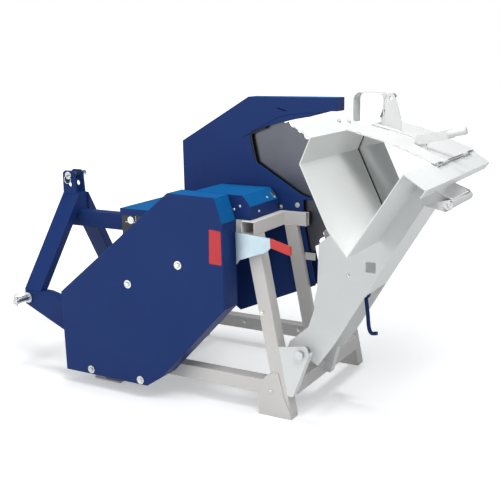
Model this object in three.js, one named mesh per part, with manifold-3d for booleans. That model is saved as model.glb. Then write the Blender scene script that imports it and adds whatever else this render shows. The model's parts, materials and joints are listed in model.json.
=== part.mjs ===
// Firewood circular saw with a tilting cradle, carried on a tractor's three-point hitch.
// Millimetres. X runs from the hitch to the operator, Y from the belt side to the back, Z up.
import * as THREE from 'three';
import { mergeVertices } from 'three/addons/utils/BufferGeometryUtils.js';
import Module from 'manifold-3d';

const wasm = await Module();
wasm.setup();

// Driving dimensions
const gap = 0.3; // left where pieces are welded or bolted face to face
const overrun = 10; // how far a cutting shape runs past the face that it cuts
const tubeSize = 60;
const tubeWall = 3;
const sheet = 3; // guards and covers

const footWidth = 150;
const footPlate = 8;
const footGusset = 6;
const gussetHeight = 189;
const gussetShares = [
  [0.007, 0], [0.007, 0.48], [0.04, 0.63], [0.1, 0.76], [0.18, 0.86], [0.27, 0.93], [0.37, 0.975], [0.48, 1],
  [0.6, 1], [0.68, 0.75], [0.76, 0.48], [0.86, 0.31], [0.945, 0.16], [1, 0.02], [1, 0],
];
const frameLength = 1020;
const frameDepth = 766.3;
const frameTop = 807;
const topRailHeight = 55;
const baseRailBottom = 91;
const leftRailInset = 30; // outer face of the rail, in from the foot's end
const legInset = 33; // leg's centre line at the floor, in from the foot's end
const legLean = 146;
const leftLegLean = 216;
const rightRailOverhang = 26;
const midRailFront = 240;
const midRailDepth = 30;
const midRailReach = 100;
const innerLegSize = 56;
const innerLegTopX = 28;
const innerLegFootX = 146;
const guardStrapHeight = 31;
const guardStrapBottom = 605;

const bladeDiameter = 700;
const bladeThickness = 4;
const bladeTeeth = 56;
const toothDepth = 11;
const bladeY = 285;
const arborX = -153;
const arborZ = 858;
const arborDiameter = 40;
const arborFront = -84;
const flangeDiameter = 150;
const flangeThickness = 10;
const nutSize = 46;
const runningGap = 0.4; // a shaft in its bearing
const bedThickness = 8;
const bedWidth = 275;
const bearingWidth = 34;
const bearingRadius = 38;
const bearingBase = 130;
const frontBearingY = 19;
const rearBearingY = 196;
const housingRight = -28;
const housingHeight = 90;
const housingFold = 46; // height of the upright part of the housing's right side
const housingChamfer = 36;
const housingBack = 238;

const pulleyDiameter = 200;
const smallPulleyDiameter = 66;
const grooveDepth = 7;
const beltWidth = 34;
const beltThickness = 7;
const pulleyRim = 5;
const drivePulleyInset = 271; // from the cover's left end
const drivePulleyZ = 300;
const driveShaftDiameter = 35;
const pulleyY = -48; // middle of both pulleys

const coverDepth = 103;
const coverOverhang = 75; // past the frame's left end
const coverRight = -95;
const coverBottom = 66;
const coverHeight = 845;
const coverBackThickness = 3;
const coverShares = [
  [0, 0.43], [0.698, 1], [0.96, 0.995], [1, 0.877], [1, 0.462], [0.622, 0.059], [0.533, 0], [0.007, 0],
];

const gearboxLength = 170;
const gearboxDepth = 190;
const gearboxFoot = 20;
const gearboxFrontY = 90;
const ptoY = 176;
const ptoDiameter = 35;
const ptoLength = 88;
const ptoTeeth = 6;
const shieldLength = 104;
const shieldRadius = 78;
const shieldMouth = 112;

const deckThickness = 3;
const deckSkirt = 25;
const deckReach = 161; // past the guard's left edge
const deckFront = 3;
const deckBack = 500;
const deckJoint = 31; // left open between the deck and the arbor's bed

const guardLeft = -511;
const guardRight = 226;
const guardTop = 1274;
const guardShoulder = 1081; // where the left edge starts to slope
const guardSlopeEnd = -176;
const guardFront = 262;
const guardDepth = 72;
const guardLowRight = 78;
const guardLowBottom = 341;
const guardLowLeft = -236;
const guardLowTip = 130;
const guardLowRise = 156;
const guardSideLeft = -470;
const guardClearAngle = 1.6; // degrees of tilt left free past the stop
const guardArcClearance = 7;
const guardArcStart = 7.5; // degrees past the upright where the straight end meets the arc

const pivotX = 188;
const pivotZ = 286;
const pivotDiameter = 24;
const pivotFront = -10;
const pivotBack = 350;
const bracketThickness = 6;
const bracketFlange = 40;
const nearBracketY = 6.6;
const rearBracketY = 326;
const tiltRange = 32; // degrees

const troughSheet = 4;
const veeX = 298; // bottom of the vee, from the pivot
const veeZ = 481;
const rightWallLength = 354;
const rightWallAngle = 56.8;
const leftFootLength = 110;
const leftFootAngle = 129;
const leftWallLength = 247;
const leftWallAngle = 115.5;
const leftTopLength = 100;
const leftTopAngle = 66.5;
const leftFlangeLength = 76;
const leftFlangeAngle = 148.4;
const rightFlangeLength = 94;
const rightLipLength = 33;
const troughFront = -240;
const troughBack = 560;
const flangeBack = 225;
const slotWidth = 24;
const slotReach = 240; // up the right wall, from the vee

const armThickness = 6;
const nearArmY = 68;
const rearArmY = 303;
const bossRadius = 33;
const backSheet = 3;
const backCoverLow = 250;
const spacerDiameter = 16;
const spacerX = 196;
const spacerZ = 222;
const armEdgeShares = [[0.812, 0.522], [1.86, 1.59]]; // the straight edge on the operator's side
const armShares = [
  [0.222, 0.946], [0.164, 0.911], [0.148, 0.557], [0.101, 0.422], [0.105, 0.364], [0.02, 0.204],
  [-0.258, 0.052], [-0.3, -0.012], [-0.067, -0.07], [0.06, -0.09], [0.158, -0.123], [0.393, 0.081],
  ...armEdgeShares, [1.651, 1.66], [1, 1.06], [0.768, 1.21],
];
const squareHole = 40;
const squareHoleX = 265;
const squareHoleZ = 369;

const handleThickness = 6;
const handleTube = 31;
const handleX = 577;
const handleZ = 642;
const handleFront = -3;
const handleSpan = 236;
const handleOverhang = 9;

const rodDiameter = 16;
const rodDrop = 150;
const rodFoot = 34;
const rodEye = 13;
const rodY = 200;

const lidSheet = 3;
const lidFront = 45;
const lidLeftX = 167;
const lidLeftZ = 884;
const lidBendX = 316;
const lidBendZ = 845;
const lidHingeShift = 20; // hinge line, out along the flange from the right wall
const lidSlotReach = 236;
const knuckleRadius = 7;
const hingePinRadius = 3.6;
const knuckleLength = 60;
const knuckleShares = [0.12, 0.62];

const hoodX = 70;
const hoodWidth = 130;
const hoodTop = 1007;
const hoodFront = 345;
const hoodLength = 70;
const hoodRound = 30;
const clawX = 186;
const clawY = 352;
const clawThickness = 6;
const clawWidth = 84;
const clawHeight = 165;
const clawHole = 14;
const clawShares = [[0, 0], [1, 0], [1, 0.4], [0.78, 0.8], [0.6, 1], [0.34, 1], [0.1, 0.72], [0, 0.5]];

const lidLeverX = 400;
const lidLeverZ = 841;
const lidLeverY = 200;
const lidLeverLength = 127;
const lidLeverHeight = 34;
const lidLeverThickness = 6;
const lidLeverRise = 13; // degrees
const lidGripDiameter = 28;
const lidGripLength = 48;

const tensionX = -19;
const tensionZ = 700;
const tensionY = -28;
const tensionPlate = 6;
const tensionLength = 94;
const tensionHeight = 131;
const tensionShares = [
  [-0.64, 0.48], [1, 0.39], [1.02, 0.1], [0.92, 0.02], [0.7, -0.08], [-0.48, -0.38], [-0.62, -0.52],
];
const tensionGripLength = 92;
const tensionGripHeight = 37;
const tensionGripThickness = 14;
const tensionDroop = 15; // degrees

const mastReach = 370; // from the frame's left end
const mastWidth = 88;
const mastY = 320; // middle of the hitch
const mastPlate = 12;
const mastGap = 48;
const mastTop = 908;
const mastBlockTop = 800;
const mastBlockBottom = 700;
const mastHoleHigh = 886;
const mastHoleLow = 842;
const mastHoleRadius = 12.8;
const linkPinRadius = 12.4;
const linkPinLength = 116;
const linkPinHead = 8;
const strutHeight = 76;
const strutDepth = 60;
const strutBottom = 640;
const mastLegFootZ = 372;
const mastLegFootIn = 258; // inner face of a leg's foot, from the middle of the hitch
const mastLegFootOut = 311;
const mastLegWidth = 100;
const mastLegShift = 34; // the foot stands further from the frame than the head
const braceDepth = 50;
const braceBottom = 301;
const braceDropShare = 0.42;
const braceTopShares = [[0.4, 0.96], [0.57, 0.79], [1, 0.42]];
const lowerPinRadius = 14;
const lowerPinLength = 92;
const lowerPinZ = 336;
const lowerPinInset = 25;
const lowerCollarRadius = 25;
const lowerCollarLength = 10;

// Places that follow from the driving dimensions
const legFront = footGusset + gap;
const legBack = legFront + tubeSize;
const farFootY = frameDepth - legBack;
const frameLeft = footWidth - frameLength;
const coverLeft = frameLeft - coverOverhang;
const coverWidth = coverRight - coverLeft;
const drivePulleyX = coverLeft + drivePulleyInset;
const bearerX = drivePulleyX - tubeSize / 2;
const bedLeft = housingRight - bedWidth;
const mastX = frameLeft - mastReach;
const mastHoleX = mastX + mastWidth / 2;
const braceLeft = mastX - mastLegShift;
const lowerPinX = braceLeft + lowerPinInset;
const legTop = frameTop - topRailHeight - gap;
const baseRailTop = baseRailBottom + tubeSize;
const rightTopX = footWidth - legInset - legLean;
const leftTopX = frameLeft + legInset + leftLegLean;
const topRailBottom = frameTop - topRailHeight;
const guardBack = guardFront + guardDepth;
const lowPlateFront = midRailFront + midRailDepth + gap;
const bedTop = frameTop + gap + bedThickness;
const coverRear = legFront - gap - coverBackThickness;
const radians = THREE.MathUtils.degToRad;

const finishes = {
  blue: [0x20386b, 0.38, 0.15],
  lightGrey: [0xc6c3be, 0.5, 0.1],
  cradleGrey: [0xd9dcda, 0.45, 0.1],
  white: [0xe9ebea, 0.45, 0.1],
  steel: [0x9aa0a4, 0.3, 0.9],
  galvanised: [0xb7ccd6, 0.4, 0.7],
  castIron: [0x3a3d42, 0.6, 0.5],
  rubber: [0x17181a, 0.85, 0],
  red: [0xd22d2d, 0.45, 0],
  blackPlastic: [0x1b1c1f, 0.6, 0],
};

function paint(finish) {
  const [color, roughness, metalness] = finishes[finish];
  return new THREE.MeshStandardMaterial({ color, roughness, metalness });
}

// Booleans
function toSolid(geometry) {
  const bare = geometry.clone();
  bare.deleteAttribute('normal');
  bare.deleteAttribute('uv');
  const merged = mergeVertices(bare);
  const mesh = { numProp: 3, vertProperties: merged.attributes.position.array, triVerts: merged.index.array };
  return new wasm.Manifold(new wasm.Mesh(mesh));
}

function toGeometry(solid) {
  const mesh = solid.getMesh();
  const geometry = new THREE.BufferGeometry();
  geometry.setAttribute('position', new THREE.BufferAttribute(mesh.vertProperties, 3));
  geometry.setIndex(new THREE.BufferAttribute(mesh.triVerts, 1));
  geometry.computeVertexNormals();
  return geometry;
}

function join(...geometries) {
  return toGeometry(geometries.map(toSolid).reduce((whole, piece) => whole.add(piece)));
}

function cut(geometry, ...tools) {
  return toGeometry(tools.map(toSolid).reduce((whole, tool) => whole.subtract(tool), toSolid(geometry)));
}

// Basic shapes
function outline(points) {
  return new THREE.Shape(points.map(([u, v]) => new THREE.Vector2(u, v)));
}

function disc(u, v, radius) {
  const shape = new THREE.Shape();
  shape.absarc(u, v, radius, 0, 2 * Math.PI);
  return shape;
}

// A flat shape drawn in X and Z, thickened from y0 to y1
function prismY(shape, y0, y1) {
  const geometry = new THREE.ExtrudeGeometry(shape, { depth: y1 - y0, bevelEnabled: false });
  return geometry.rotateX(Math.PI / 2).translate(0, y1, 0);
}

// A flat shape drawn in Y and Z, thickened from x0 to x1
function prismX(shape, x0, x1) {
  const geometry = new THREE.ExtrudeGeometry(shape, { depth: x1 - x0, bevelEnabled: false });
  return geometry.rotateX(Math.PI / 2).rotateZ(Math.PI / 2).translate(x0, 0, 0);
}

function prismZ(shape, z0, z1) {
  const geometry = new THREE.ExtrudeGeometry(shape, { depth: z1 - z0, bevelEnabled: false });
  return geometry.translate(0, 0, z0);
}

function block(x0, x1, y0, y1, z0, z1) {
  const geometry = new THREE.BoxGeometry(x1 - x0, y1 - y0, z1 - z0);
  return geometry.translate((x0 + x1) / 2, (y0 + y1) / 2, (z0 + z1) / 2);
}

function rodAlongY(x, z, radius, y0, y1, sides = 32) {
  const geometry = new THREE.CylinderGeometry(radius, radius, y1 - y0, sides);
  return geometry.translate(x, (y0 + y1) / 2, z);
}

function rodAlongX(y, z, radius, x0, x1, sides = 32) {
  const geometry = new THREE.CylinderGeometry(radius, radius, x1 - x0, sides);
  return geometry.rotateZ(Math.PI / 2).translate((x0 + x1) / 2, y, z);
}

function along(point, length, degrees) {
  return [point[0] + length * Math.cos(radians(degrees)), point[1] + length * Math.sin(radians(degrees))];
}

function turned(point, degrees) {
  const angle = Math.atan2(point[1], point[0]) + radians(degrees);
  const reach = Math.hypot(point[0], point[1]);
  return [reach * Math.cos(angle), reach * Math.sin(angle)];
}

// The line moved sideways by a distance, to the right of its direction of travel
function offsetLine(points, distance) {
  return points.map((point, i) => {
    const before = points[Math.max(i - 1, 0)];
    const after = points[Math.min(i + 1, points.length - 1)];
    const inward = i > 0 ? new THREE.Vector2(point[0] - before[0], point[1] - before[1]).normalize() : null;
    const onward = i < points.length - 1
      ? new THREE.Vector2(after[0] - point[0], after[1] - point[1]).normalize() : null;
    const first = inward || onward;
    const second = onward || inward;
    const middle = new THREE.Vector2(first.y + second.y, -first.x - second.x).normalize();
    const stretch = distance / middle.dot(new THREE.Vector2(first.y, -first.x));
    return [point[0] + middle.x * stretch, point[1] + middle.y * stretch];
  });
}

function foldedSheet(points, thickness) {
  return outline([...points, ...offsetLine(points, thickness).reverse()]);
}

function add(parent, name, geometry, finish) {
  const mesh = new THREE.Mesh(geometry, paint(finish));
  mesh.name = name;
  parent.add(mesh);
  return mesh;
}

const group = new THREE.Group();

// Welded frame: leaning legs on plate feet, joined by rails of square tube
function legCentre(side, z) {
  const share = (z - footPlate) / (frameTop - topRailHeight - footPlate);
  return side > 0 ? footWidth - legInset - legLean * share : frameLeft + legInset + leftLegLean * share;
}

function leg(side, y) {
  const bottom = footPlate + gap;
  const shape = (half, z0, z1) => outline([
    [legCentre(side, z0) - half, z0], [legCentre(side, z0) + half, z0],
    [legCentre(side, z1) + half, z1], [legCentre(side, z1) - half, z1],
  ]);
  const outer = prismY(shape(tubeSize / 2, bottom, legTop), y, y + tubeSize);
  const inner = prismY(
    shape(tubeSize / 2 - tubeWall, bottom - overrun, legTop + overrun), y + tubeWall, y + tubeSize - tubeWall);
  return cut(outer, inner);
}

// The plate foot of a right-hand leg, with its gusset in front of the leg or behind it
function foot(gussetBehind) {
  const depth = gussetBehind ? legBack + gap + footGusset : legBack;
  const front = gussetBehind ? legBack + gap : 0;
  const plate = outline([
    [0, 0], [footWidth - footPlate, 0], [footWidth, footPlate],
    [footWidth, depth - footPlate], [footWidth - footPlate, depth], [0, depth],
  ]);
  const gusset = outline(gussetShares.map(([u, v]) => [footWidth * u, gussetHeight * v]));
  return join(prismZ(plate, 0, footPlate), prismY(gusset, front, front + footGusset));
}

function mirroredToLeft(geometry) {
  const flipped = toGeometry(toSolid(geometry).mirror([1, 0, 0]));
  return flipped.translate(frameLeft + footWidth, 0, 0);
}

function railAlongX(x0, x1, y0, y1, z0, z1) {
  const hollow = block(
    x0 - overrun, x1 + overrun, y0 + tubeWall, y1 - tubeWall, z0 + tubeWall, z1 - tubeWall);
  return cut(block(x0, x1, y0, y1, z0, z1), hollow);
}

function railAlongY(x0, x1, y0, y1, z0, z1) {
  const hollow = block(
    x0 + tubeWall, x1 - tubeWall, y0 - overrun, y1 + overrun, z0 + tubeWall, z1 - tubeWall);
  return cut(block(x0, x1, y0, y1, z0, z1), hollow);
}

// A rail between two leaning legs, its ends cut to their slope
function baseRailBetweenLegs(y) {
  const left = (z) => legCentre(-1, z) + tubeSize / 2 + gap;
  const right = (z) => legCentre(1, z) - tubeSize / 2 - gap;
  const shape = outline([
    [left(baseRailBottom), baseRailBottom], [right(baseRailBottom), baseRailBottom],
    [right(baseRailTop), baseRailTop], [left(baseRailTop), baseRailTop],
  ]);
  const hollow = block(
    frameLeft, footWidth, y + tubeWall, y + tubeSize - tubeWall,
    baseRailBottom + tubeWall, baseRailTop - tubeWall);
  return cut(prismY(shape, y, y + tubeSize), hollow);
}

for (const [sideName, side] of [['right', 1], ['left', -1]]) {
  for (const [endName, y] of [['near', 0], ['far', farFootY]]) {
    const plain = foot(side < 0 && endName === 'near').translate(0, y, 0);
    add(group, `${endName}_${sideName}_foot`, side > 0 ? plain : mirroredToLeft(plain), 'lightGrey');
    add(group, `${endName}_${sideName}_leg`, leg(side, y + legFront), 'lightGrey');
  }
}
for (const [endName, y] of [['near', legFront], ['far', farFootY + legFront]]) {
  add(group, `${endName}_base_rail`, baseRailBetweenLegs(y), 'lightGrey');
}
const sideRailFront = legBack + gap;
const sideRailBack = farFootY + legFront - gap;
const rightRailX = footWidth - tubeSize;
const leftRailX = frameLeft + leftRailInset;
for (const [name, x] of [['right_base_rail', rightRailX], ['left_base_rail', leftRailX]]) {
  const front = x < 0 ? sideRailFront + footGusset + gap : sideRailFront;
  const rail = railAlongY(x, x + tubeSize, front, farFootY - gap, baseRailBottom, baseRailTop);
  add(group, name, rail, 'lightGrey');
}

const rightTopLeft = rightTopX - tubeSize / 2;
const leftTopLeft = leftTopX - tubeSize / 2;
add(group, 'near_top_rail', railAlongX(
  leftTopLeft, rightTopLeft - gap, legFront, legBack, topRailBottom, frameTop), 'lightGrey');
add(group, 'far_top_rail', railAlongX(
  leftTopLeft, rightTopLeft + tubeSize, farFootY + legFront, frameDepth, topRailBottom, frameTop), 'lightGrey');
add(group, 'left_top_rail', railAlongY(
  leftTopLeft, leftTopLeft + tubeSize, sideRailFront, sideRailBack, topRailBottom, frameTop), 'lightGrey');
add(group, 'right_top_rail', railAlongY(
  rightTopLeft, rightTopLeft + tubeSize, legFront - rightRailOverhang, midRailFront - gap,
  topRailBottom, frameTop), 'lightGrey');
add(group, 'middle_top_rail', railAlongX(
  leftTopLeft + tubeSize + gap, midRailReach, midRailFront, midRailFront + midRailDepth,
  topRailBottom, frameTop), 'lightGrey');

// Slanting leg from the middle rail's free end down to the side rail, with the lower guard's strap
function innerLeg() {
  const low = baseRailTop + gap;
  const back = midRailFront + midRailDepth;
  const slope = (innerLegFootX - innerLegTopX) / (topRailBottom - low);
  const centre = (z) => innerLegFootX - slope * (z - low);
  const shape = (half, z0, z1) => outline([
    [centre(z0) - half, z0], [centre(z0) + half, z0], [centre(z1) + half, z1], [centre(z1) - half, z1],
  ]);
  const high = topRailBottom - gap;
  const tube = prismY(shape(innerLegSize / 2, low, high), midRailFront, back);
  const hollow = prismY(
    shape(innerLegSize / 2 - tubeWall, low - overrun, high + overrun), midRailFront + tubeWall, back - tubeWall);
  const strap = block(
    centre(guardStrapBottom) + innerLegSize / 2 - tubeWall / 2, guardLowTip, back - footGusset, back,
    guardStrapBottom, guardStrapBottom + guardStrapHeight);
  return join(cut(tube, hollow), strap);
}
add(group, 'inner_leg', innerLeg(), 'lightGrey');
add(group, 'gearbox_bearer', railAlongY(
  bearerX, bearerX + tubeSize, legFront, frameDepth, baseRailTop + gap,
  baseRailTop + gap + tubeSize), 'lightGrey');

// Belt drive and its cover
function coverOutline(inset) {
  const points = coverShares.map(([u, v]) => [coverLeft + coverWidth * u, coverBottom + coverHeight * v]);
  const closed = [points[points.length - 1], ...points, points[0]];
  return outline(offsetLine(closed, inset).slice(1, -1));
}
const coverShell = cut(
  prismY(coverOutline(0), -coverDepth, 0),
  prismY(coverOutline(sheet), sheet - coverDepth, overrun));
coverShell.translate(0, coverRear - gap, 0);
add(group, 'belt_cover', coverShell, 'blue');
const backHoles = [
  rodAlongY(arborX, arborZ, arborDiameter, -overrun, 2 * overrun),
  rodAlongY(drivePulleyX, drivePulleyZ, driveShaftDiameter, -overrun, 2 * overrun),
];
add(group, 'belt_cover_back', cut(
  prismY(coverOutline(0), coverRear, coverRear + coverBackThickness), ...backHoles), 'blue');

// A pulley's half section, turned about the shaft; a hub stands on a thin web inside the rim
function pulley(radius, bore, hubRadius) {
  const half = beltWidth / 2 + runningGap;
  const face = half + pulleyRim;
  const floor = radius - grooveDepth;
  const ring = floor - pulleyRim * 2;
  const hubFront = hubRadius > 0 ? [
    [bore, -face - hubRadius / 2], [hubRadius, -face - hubRadius / 2], [hubRadius, -pulleyRim],
    [ring, -pulleyRim], [ring, -face],
  ] : [[bore, -face]];
  const hubBack = hubRadius > 0 ? [
    [ring, face], [ring, pulleyRim], [hubRadius, pulleyRim], [hubRadius, face], [bore, face],
  ] : [[bore, face]];
  const profile = [
    ...hubFront, [radius, -face], [radius, -half], [floor, -half], [floor, half], [radius, half],
    [radius, face], ...hubBack, hubFront[0],
  ];
  const lathe = new THREE.LatheGeometry(profile.map(([r, y]) => new THREE.Vector2(r, y)), 48);
  return toGeometry(toSolid(lathe));
}

function beltLoop(thickness) {
  const big = pulleyDiameter / 2 - grooveDepth + runningGap + thickness;
  const small = smallPulleyDiameter / 2 - grooveDepth + runningGap + thickness;
  const dx = arborX - drivePulleyX;
  const dz = arborZ - drivePulleyZ;
  const heading = Math.atan2(dz, dx);
  const wrap = Math.acos((big - small) / Math.hypot(dx, dz));
  const path = new THREE.Shape();
  path.absarc(drivePulleyX, drivePulleyZ, big, heading + wrap, heading - wrap + 2 * Math.PI);
  path.absarc(arborX, arborZ, small, heading - wrap, heading + wrap);
  path.closePath();
  return path;
}
const beltRing = cut(
  prismY(beltLoop(beltThickness), pulleyY - beltWidth / 2, pulleyY + beltWidth / 2),
  prismY(beltLoop(0), pulleyY - beltWidth, pulleyY + beltWidth));
add(group, 'drive_belt', beltRing, 'rubber');

// Bevel gearbox on its bearer, with the driven shaft's stub under a shield
const gearboxX = bearerX + tubeSize / 2 - gearboxLength / 2;
const gearboxBottom = baseRailTop + 2 * gap + tubeSize;
const gearboxTop = 2 * drivePulleyZ - gearboxBottom;
const gearboxCore = join(
  block(gearboxX, gearboxX + gearboxLength, gearboxFrontY, gearboxFrontY + gearboxDepth,
    gearboxBottom, gearboxTop),
  rodAlongY(drivePulleyX, drivePulleyZ, gearboxLength * 0.36, gearboxFrontY - gearboxFoot, ptoY),
  rodAlongX(ptoY, drivePulleyZ, gearboxLength * 0.36, gearboxX - gearboxFoot, drivePulleyX));
add(group, 'gearbox', cut(
  gearboxCore,
  rodAlongY(drivePulleyX, drivePulleyZ, driveShaftDiameter / 2 + runningGap, -overrun, ptoY - ptoDiameter),
  rodAlongX(ptoY, drivePulleyZ, ptoDiameter / 2 + runningGap, gearboxX - gearboxLength,
    drivePulleyX - driveShaftDiameter)), 'castIron');
const shieldX = gearboxX - gearboxFoot - gap;
const shieldProfile = [
  [shieldRadius - gearboxFoot, 0], [shieldRadius, 0], [shieldMouth, shieldLength],
  [shieldMouth - sheet, shieldLength], [shieldRadius - sheet, sheet], [shieldRadius - gearboxFoot, sheet],
  [shieldRadius - gearboxFoot, 0],
];
const shieldShell = new THREE.LatheGeometry(shieldProfile.map(([r, y]) => new THREE.Vector2(r, y)), 32);
const shieldSolid = toGeometry(toSolid(shieldShell)).rotateZ(Math.PI / 2);
add(group, 'pto_shield', shieldSolid.translate(shieldX, ptoY, drivePulleyZ), 'blackPlastic');

const drive = new THREE.Group();
drive.position.set(drivePulleyX, 0, drivePulleyZ);
group.add(drive);
const driveShaft = rodAlongY(0, 0, driveShaftDiameter / 2, pulleyY - beltWidth, ptoY - ptoDiameter - gap * 5);
const bigPulley = pulley(pulleyDiameter / 2, driveShaftDiameter / 4, driveShaftDiameter).translate(0, pulleyY, 0);
add(drive, 'drive_pulley', join(bigPulley, driveShaft), 'castIron');

const pto = new THREE.Group();
pto.position.set(0, ptoY, drivePulleyZ);
group.add(pto);
function splinedShaft() {
  const inner = drivePulleyX - driveShaftDiameter - gap * 5;
  const outerEnd = gearboxX - gearboxFoot - ptoLength;
  let shaft = rodAlongX(0, 0, ptoDiameter / 2, outerEnd, inner, 24);
  const groove = ptoDiameter / ptoTeeth;
  for (let i = 0; i < ptoTeeth; i += 1) {
    const slot = block(outerEnd - overrun, outerEnd + ptoLength * 0.8,
      -groove / 2, groove / 2, ptoDiameter / 2 - groove / 2, ptoDiameter);
    shaft = cut(shaft, slot.rotateX((i * 2 * Math.PI) / ptoTeeth));
  }
  return shaft;
}
add(pto, 'pto_shaft', splinedShaft(), 'steel');

// Arbor: shaft, bearings on a bed plate, blade between two flanges
add(group, 'arbor_bed', block(
  bedLeft, housingRight, legFront, guardFront - gap,
  frameTop + gap, bedTop), 'blue');
function bearing(y) {
  const base = block(
    arborX - bearingBase / 2, arborX + bearingBase / 2, y, y + bearingWidth, bedTop + gap, arborZ - bearingRadius / 2);
  const barrel = rodAlongY(arborX, arborZ, bearingRadius, y, y + bearingWidth);
  const bore = rodAlongY(arborX, arborZ, arborDiameter / 2 + runningGap, y - overrun, y + bearingWidth + overrun);
  const under = block(arborX - bearingBase, arborX + bearingBase, y - overrun, y + bearingWidth + overrun,
    0, bedTop + gap);
  return cut(join(base, barrel), bore, under);
}
add(group, 'front_bearing', bearing(frontBearingY), 'castIron');
add(group, 'rear_bearing', bearing(rearBearingY), 'castIron');
function housingOutline(wall) {
  const right = housingRight - wall;
  const left = right + wall - bedWidth + wall;
  const bottom = wall > 0 ? 0 : bedTop + gap;
  const top = bedTop + housingHeight - wall;
  return outline([
    [left, bottom], [right, bottom], [right, bedTop + housingFold - wall / 2],
    [right - housingChamfer + wall / 2, top], [left, top],
  ]);
}
const housingFront = legFront;
const housingShell = cut(
  prismY(housingOutline(0), housingFront, housingBack),
  prismY(housingOutline(sheet), housingFront + sheet, housingBack - sheet),
  rodAlongY(arborX, arborZ, arborDiameter / 2 + sheet, 0, housingBack + overrun));
add(group, 'arbor_housing', housingShell, 'blue');

const arbor = new THREE.Group();
arbor.position.set(arborX, 0, arborZ);
group.add(arbor);
const innerFlangeY = bladeY - bladeThickness / 2 - flangeThickness;
const arborShaft = join(
  rodAlongY(0, 0, arborDiameter / 2, arborFront, bladeY + bladeThickness),
  rodAlongY(0, 0, flangeDiameter / 2, innerFlangeY - gap, innerFlangeY + flangeThickness - gap),
  rodAlongY(0, 0, arborDiameter / 3, bladeY, bladeY + flangeThickness));
add(arbor, 'arbor_shaft', arborShaft, 'steel');
function sawBlade() {
  const shape = new THREE.Shape();
  const tip = bladeDiameter / 2;
  const root = tip - toothDepth;
  for (let i = 0; i < bladeTeeth; i += 1) {
    const pitch = (2 * Math.PI) / bladeTeeth;
    const at = (share, radius) => [
      radius * Math.cos((i + share) * pitch), radius * Math.sin((i + share) * pitch)];
    if (i === 0) shape.moveTo(...at(0, tip));
    else shape.lineTo(...at(0, tip));
    shape.lineTo(...at(0.25, root));
    shape.lineTo(...at(0.55, root));
  }
  shape.closePath();
  shape.holes.push(disc(0, 0, arborDiameter / 2 + gap));
  return prismY(shape, bladeY - bladeThickness / 2, bladeY + bladeThickness / 2);
}
add(arbor, 'saw_blade', sawBlade(), 'steel');
const outerFlangeY = bladeY + bladeThickness / 2 + gap;
const nut = new THREE.CylinderGeometry(nutSize / 2, nutSize / 2, nutSize / 2, 6);
const clampSolid = join(
  rodAlongY(0, 0, flangeDiameter / 2, outerFlangeY, outerFlangeY + flangeThickness),
  nut.translate(0, outerFlangeY + flangeThickness + nutSize / 4 - gap, 0));
const clampBore = rodAlongY(
  0, 0, arborDiameter / 2 + gap, outerFlangeY - overrun, bladeY + bladeThickness + gap);
const stubBore = rodAlongY(0, 0, arborDiameter / 3 + gap, outerFlangeY - overrun, bladeY + flangeThickness + gap);
add(arbor, 'clamp_flange', cut(clampSolid, clampBore, stubBore), 'steel');
const smallPulley = pulley(smallPulleyDiameter / 2, arborDiameter / 2 + gap, 0).translate(0, pulleyY, 0);
add(arbor, 'arbor_pulley', smallPulley, 'castIron');

// Deck over the drive side of the frame
const deckLeft = guardLeft - deckReach;
const deckRight = bedLeft - deckJoint;
const deckTop = frameTop + gap + deckThickness;
const deckSheet = join(
  block(deckLeft, deckRight, deckFront, midRailFront, frameTop + gap, deckTop),
  block(deckLeft, guardLeft - gap, deckFront, deckBack, frameTop + gap, deckTop),
  block(deckLeft, deckRight, deckFront, deckFront + deckThickness, frameTop - deckSkirt, deckTop));
const coverRoom = prismY(coverOutline(-gap * 2), 0, legFront);
add(group, 'deck_cover', cut(deckSheet, coverRoom), 'blue');

// Blade guard: an upper hood open toward the cradle, and a back plate with a trough below the rails
const veePoint = [veeX, veeZ];
const leftBend = along(veePoint, leftFootLength, leftFootAngle);
const leftFold = along(leftBend, leftWallLength, leftWallAngle);
const leftTop = along(leftFold, leftTopLength, leftTopAngle);
const leftFlangeEnd = along(leftTop, leftFlangeLength, leftFlangeAngle);
const rightTop = along(veePoint, rightWallLength, rightWallAngle);
const flangeAngle = rightWallAngle - 90;
const flangePoint = along(rightTop, lidHingeShift, flangeAngle);
const hingeCentre = along(flangePoint, knuckleRadius + gap * 2, flangeAngle + 90);
const rightFlangeEnd = along(rightTop, rightFlangeLength, flangeAngle);
const rightLipEnd = along(rightFlangeEnd, rightLipLength, flangeAngle - 90);
const troughLine = [leftFlangeEnd, leftTop, leftFold, leftBend, veePoint, rightTop, rightFlangeEnd, rightLipEnd];
const underside = offsetLine(troughLine, troughSheet);
const sweepRadius = Math.max(Math.hypot(...leftTop), Math.hypot(lidBendX, lidBendZ + lidSheet)) + guardArcClearance;

// The room that the cradle sweeps, seen from the pivot
function sweptRoom() {
  const stop = tiltRange + guardClearAngle;
  const corner = turned(offsetLine(troughLine, troughSheet)[1], stop);
  const start = Math.atan2(corner[1], corner[0]);
  const reach = sweepRadius * 1.5;
  const shape = new THREE.Shape();
  const endRadius = Math.hypot(...hingeCentre) + guardArcClearance;
  shape.moveTo(reach, 0);
  shape.lineTo(reach, endRadius);
  shape.lineTo(0, endRadius);
  shape.absarc(0, 0, sweepRadius, Math.PI / 2 + radians(guardArcStart), start);
  for (const point of [underside[2], underside[3], underside[4]]) {
    shape.lineTo(...turned(point, stop));
  }
  shape.lineTo(reach, 0);
  return prismY(shape, guardFront - overrun, guardBack + overrun).translate(pivotX, 0, pivotZ);
}

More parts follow.
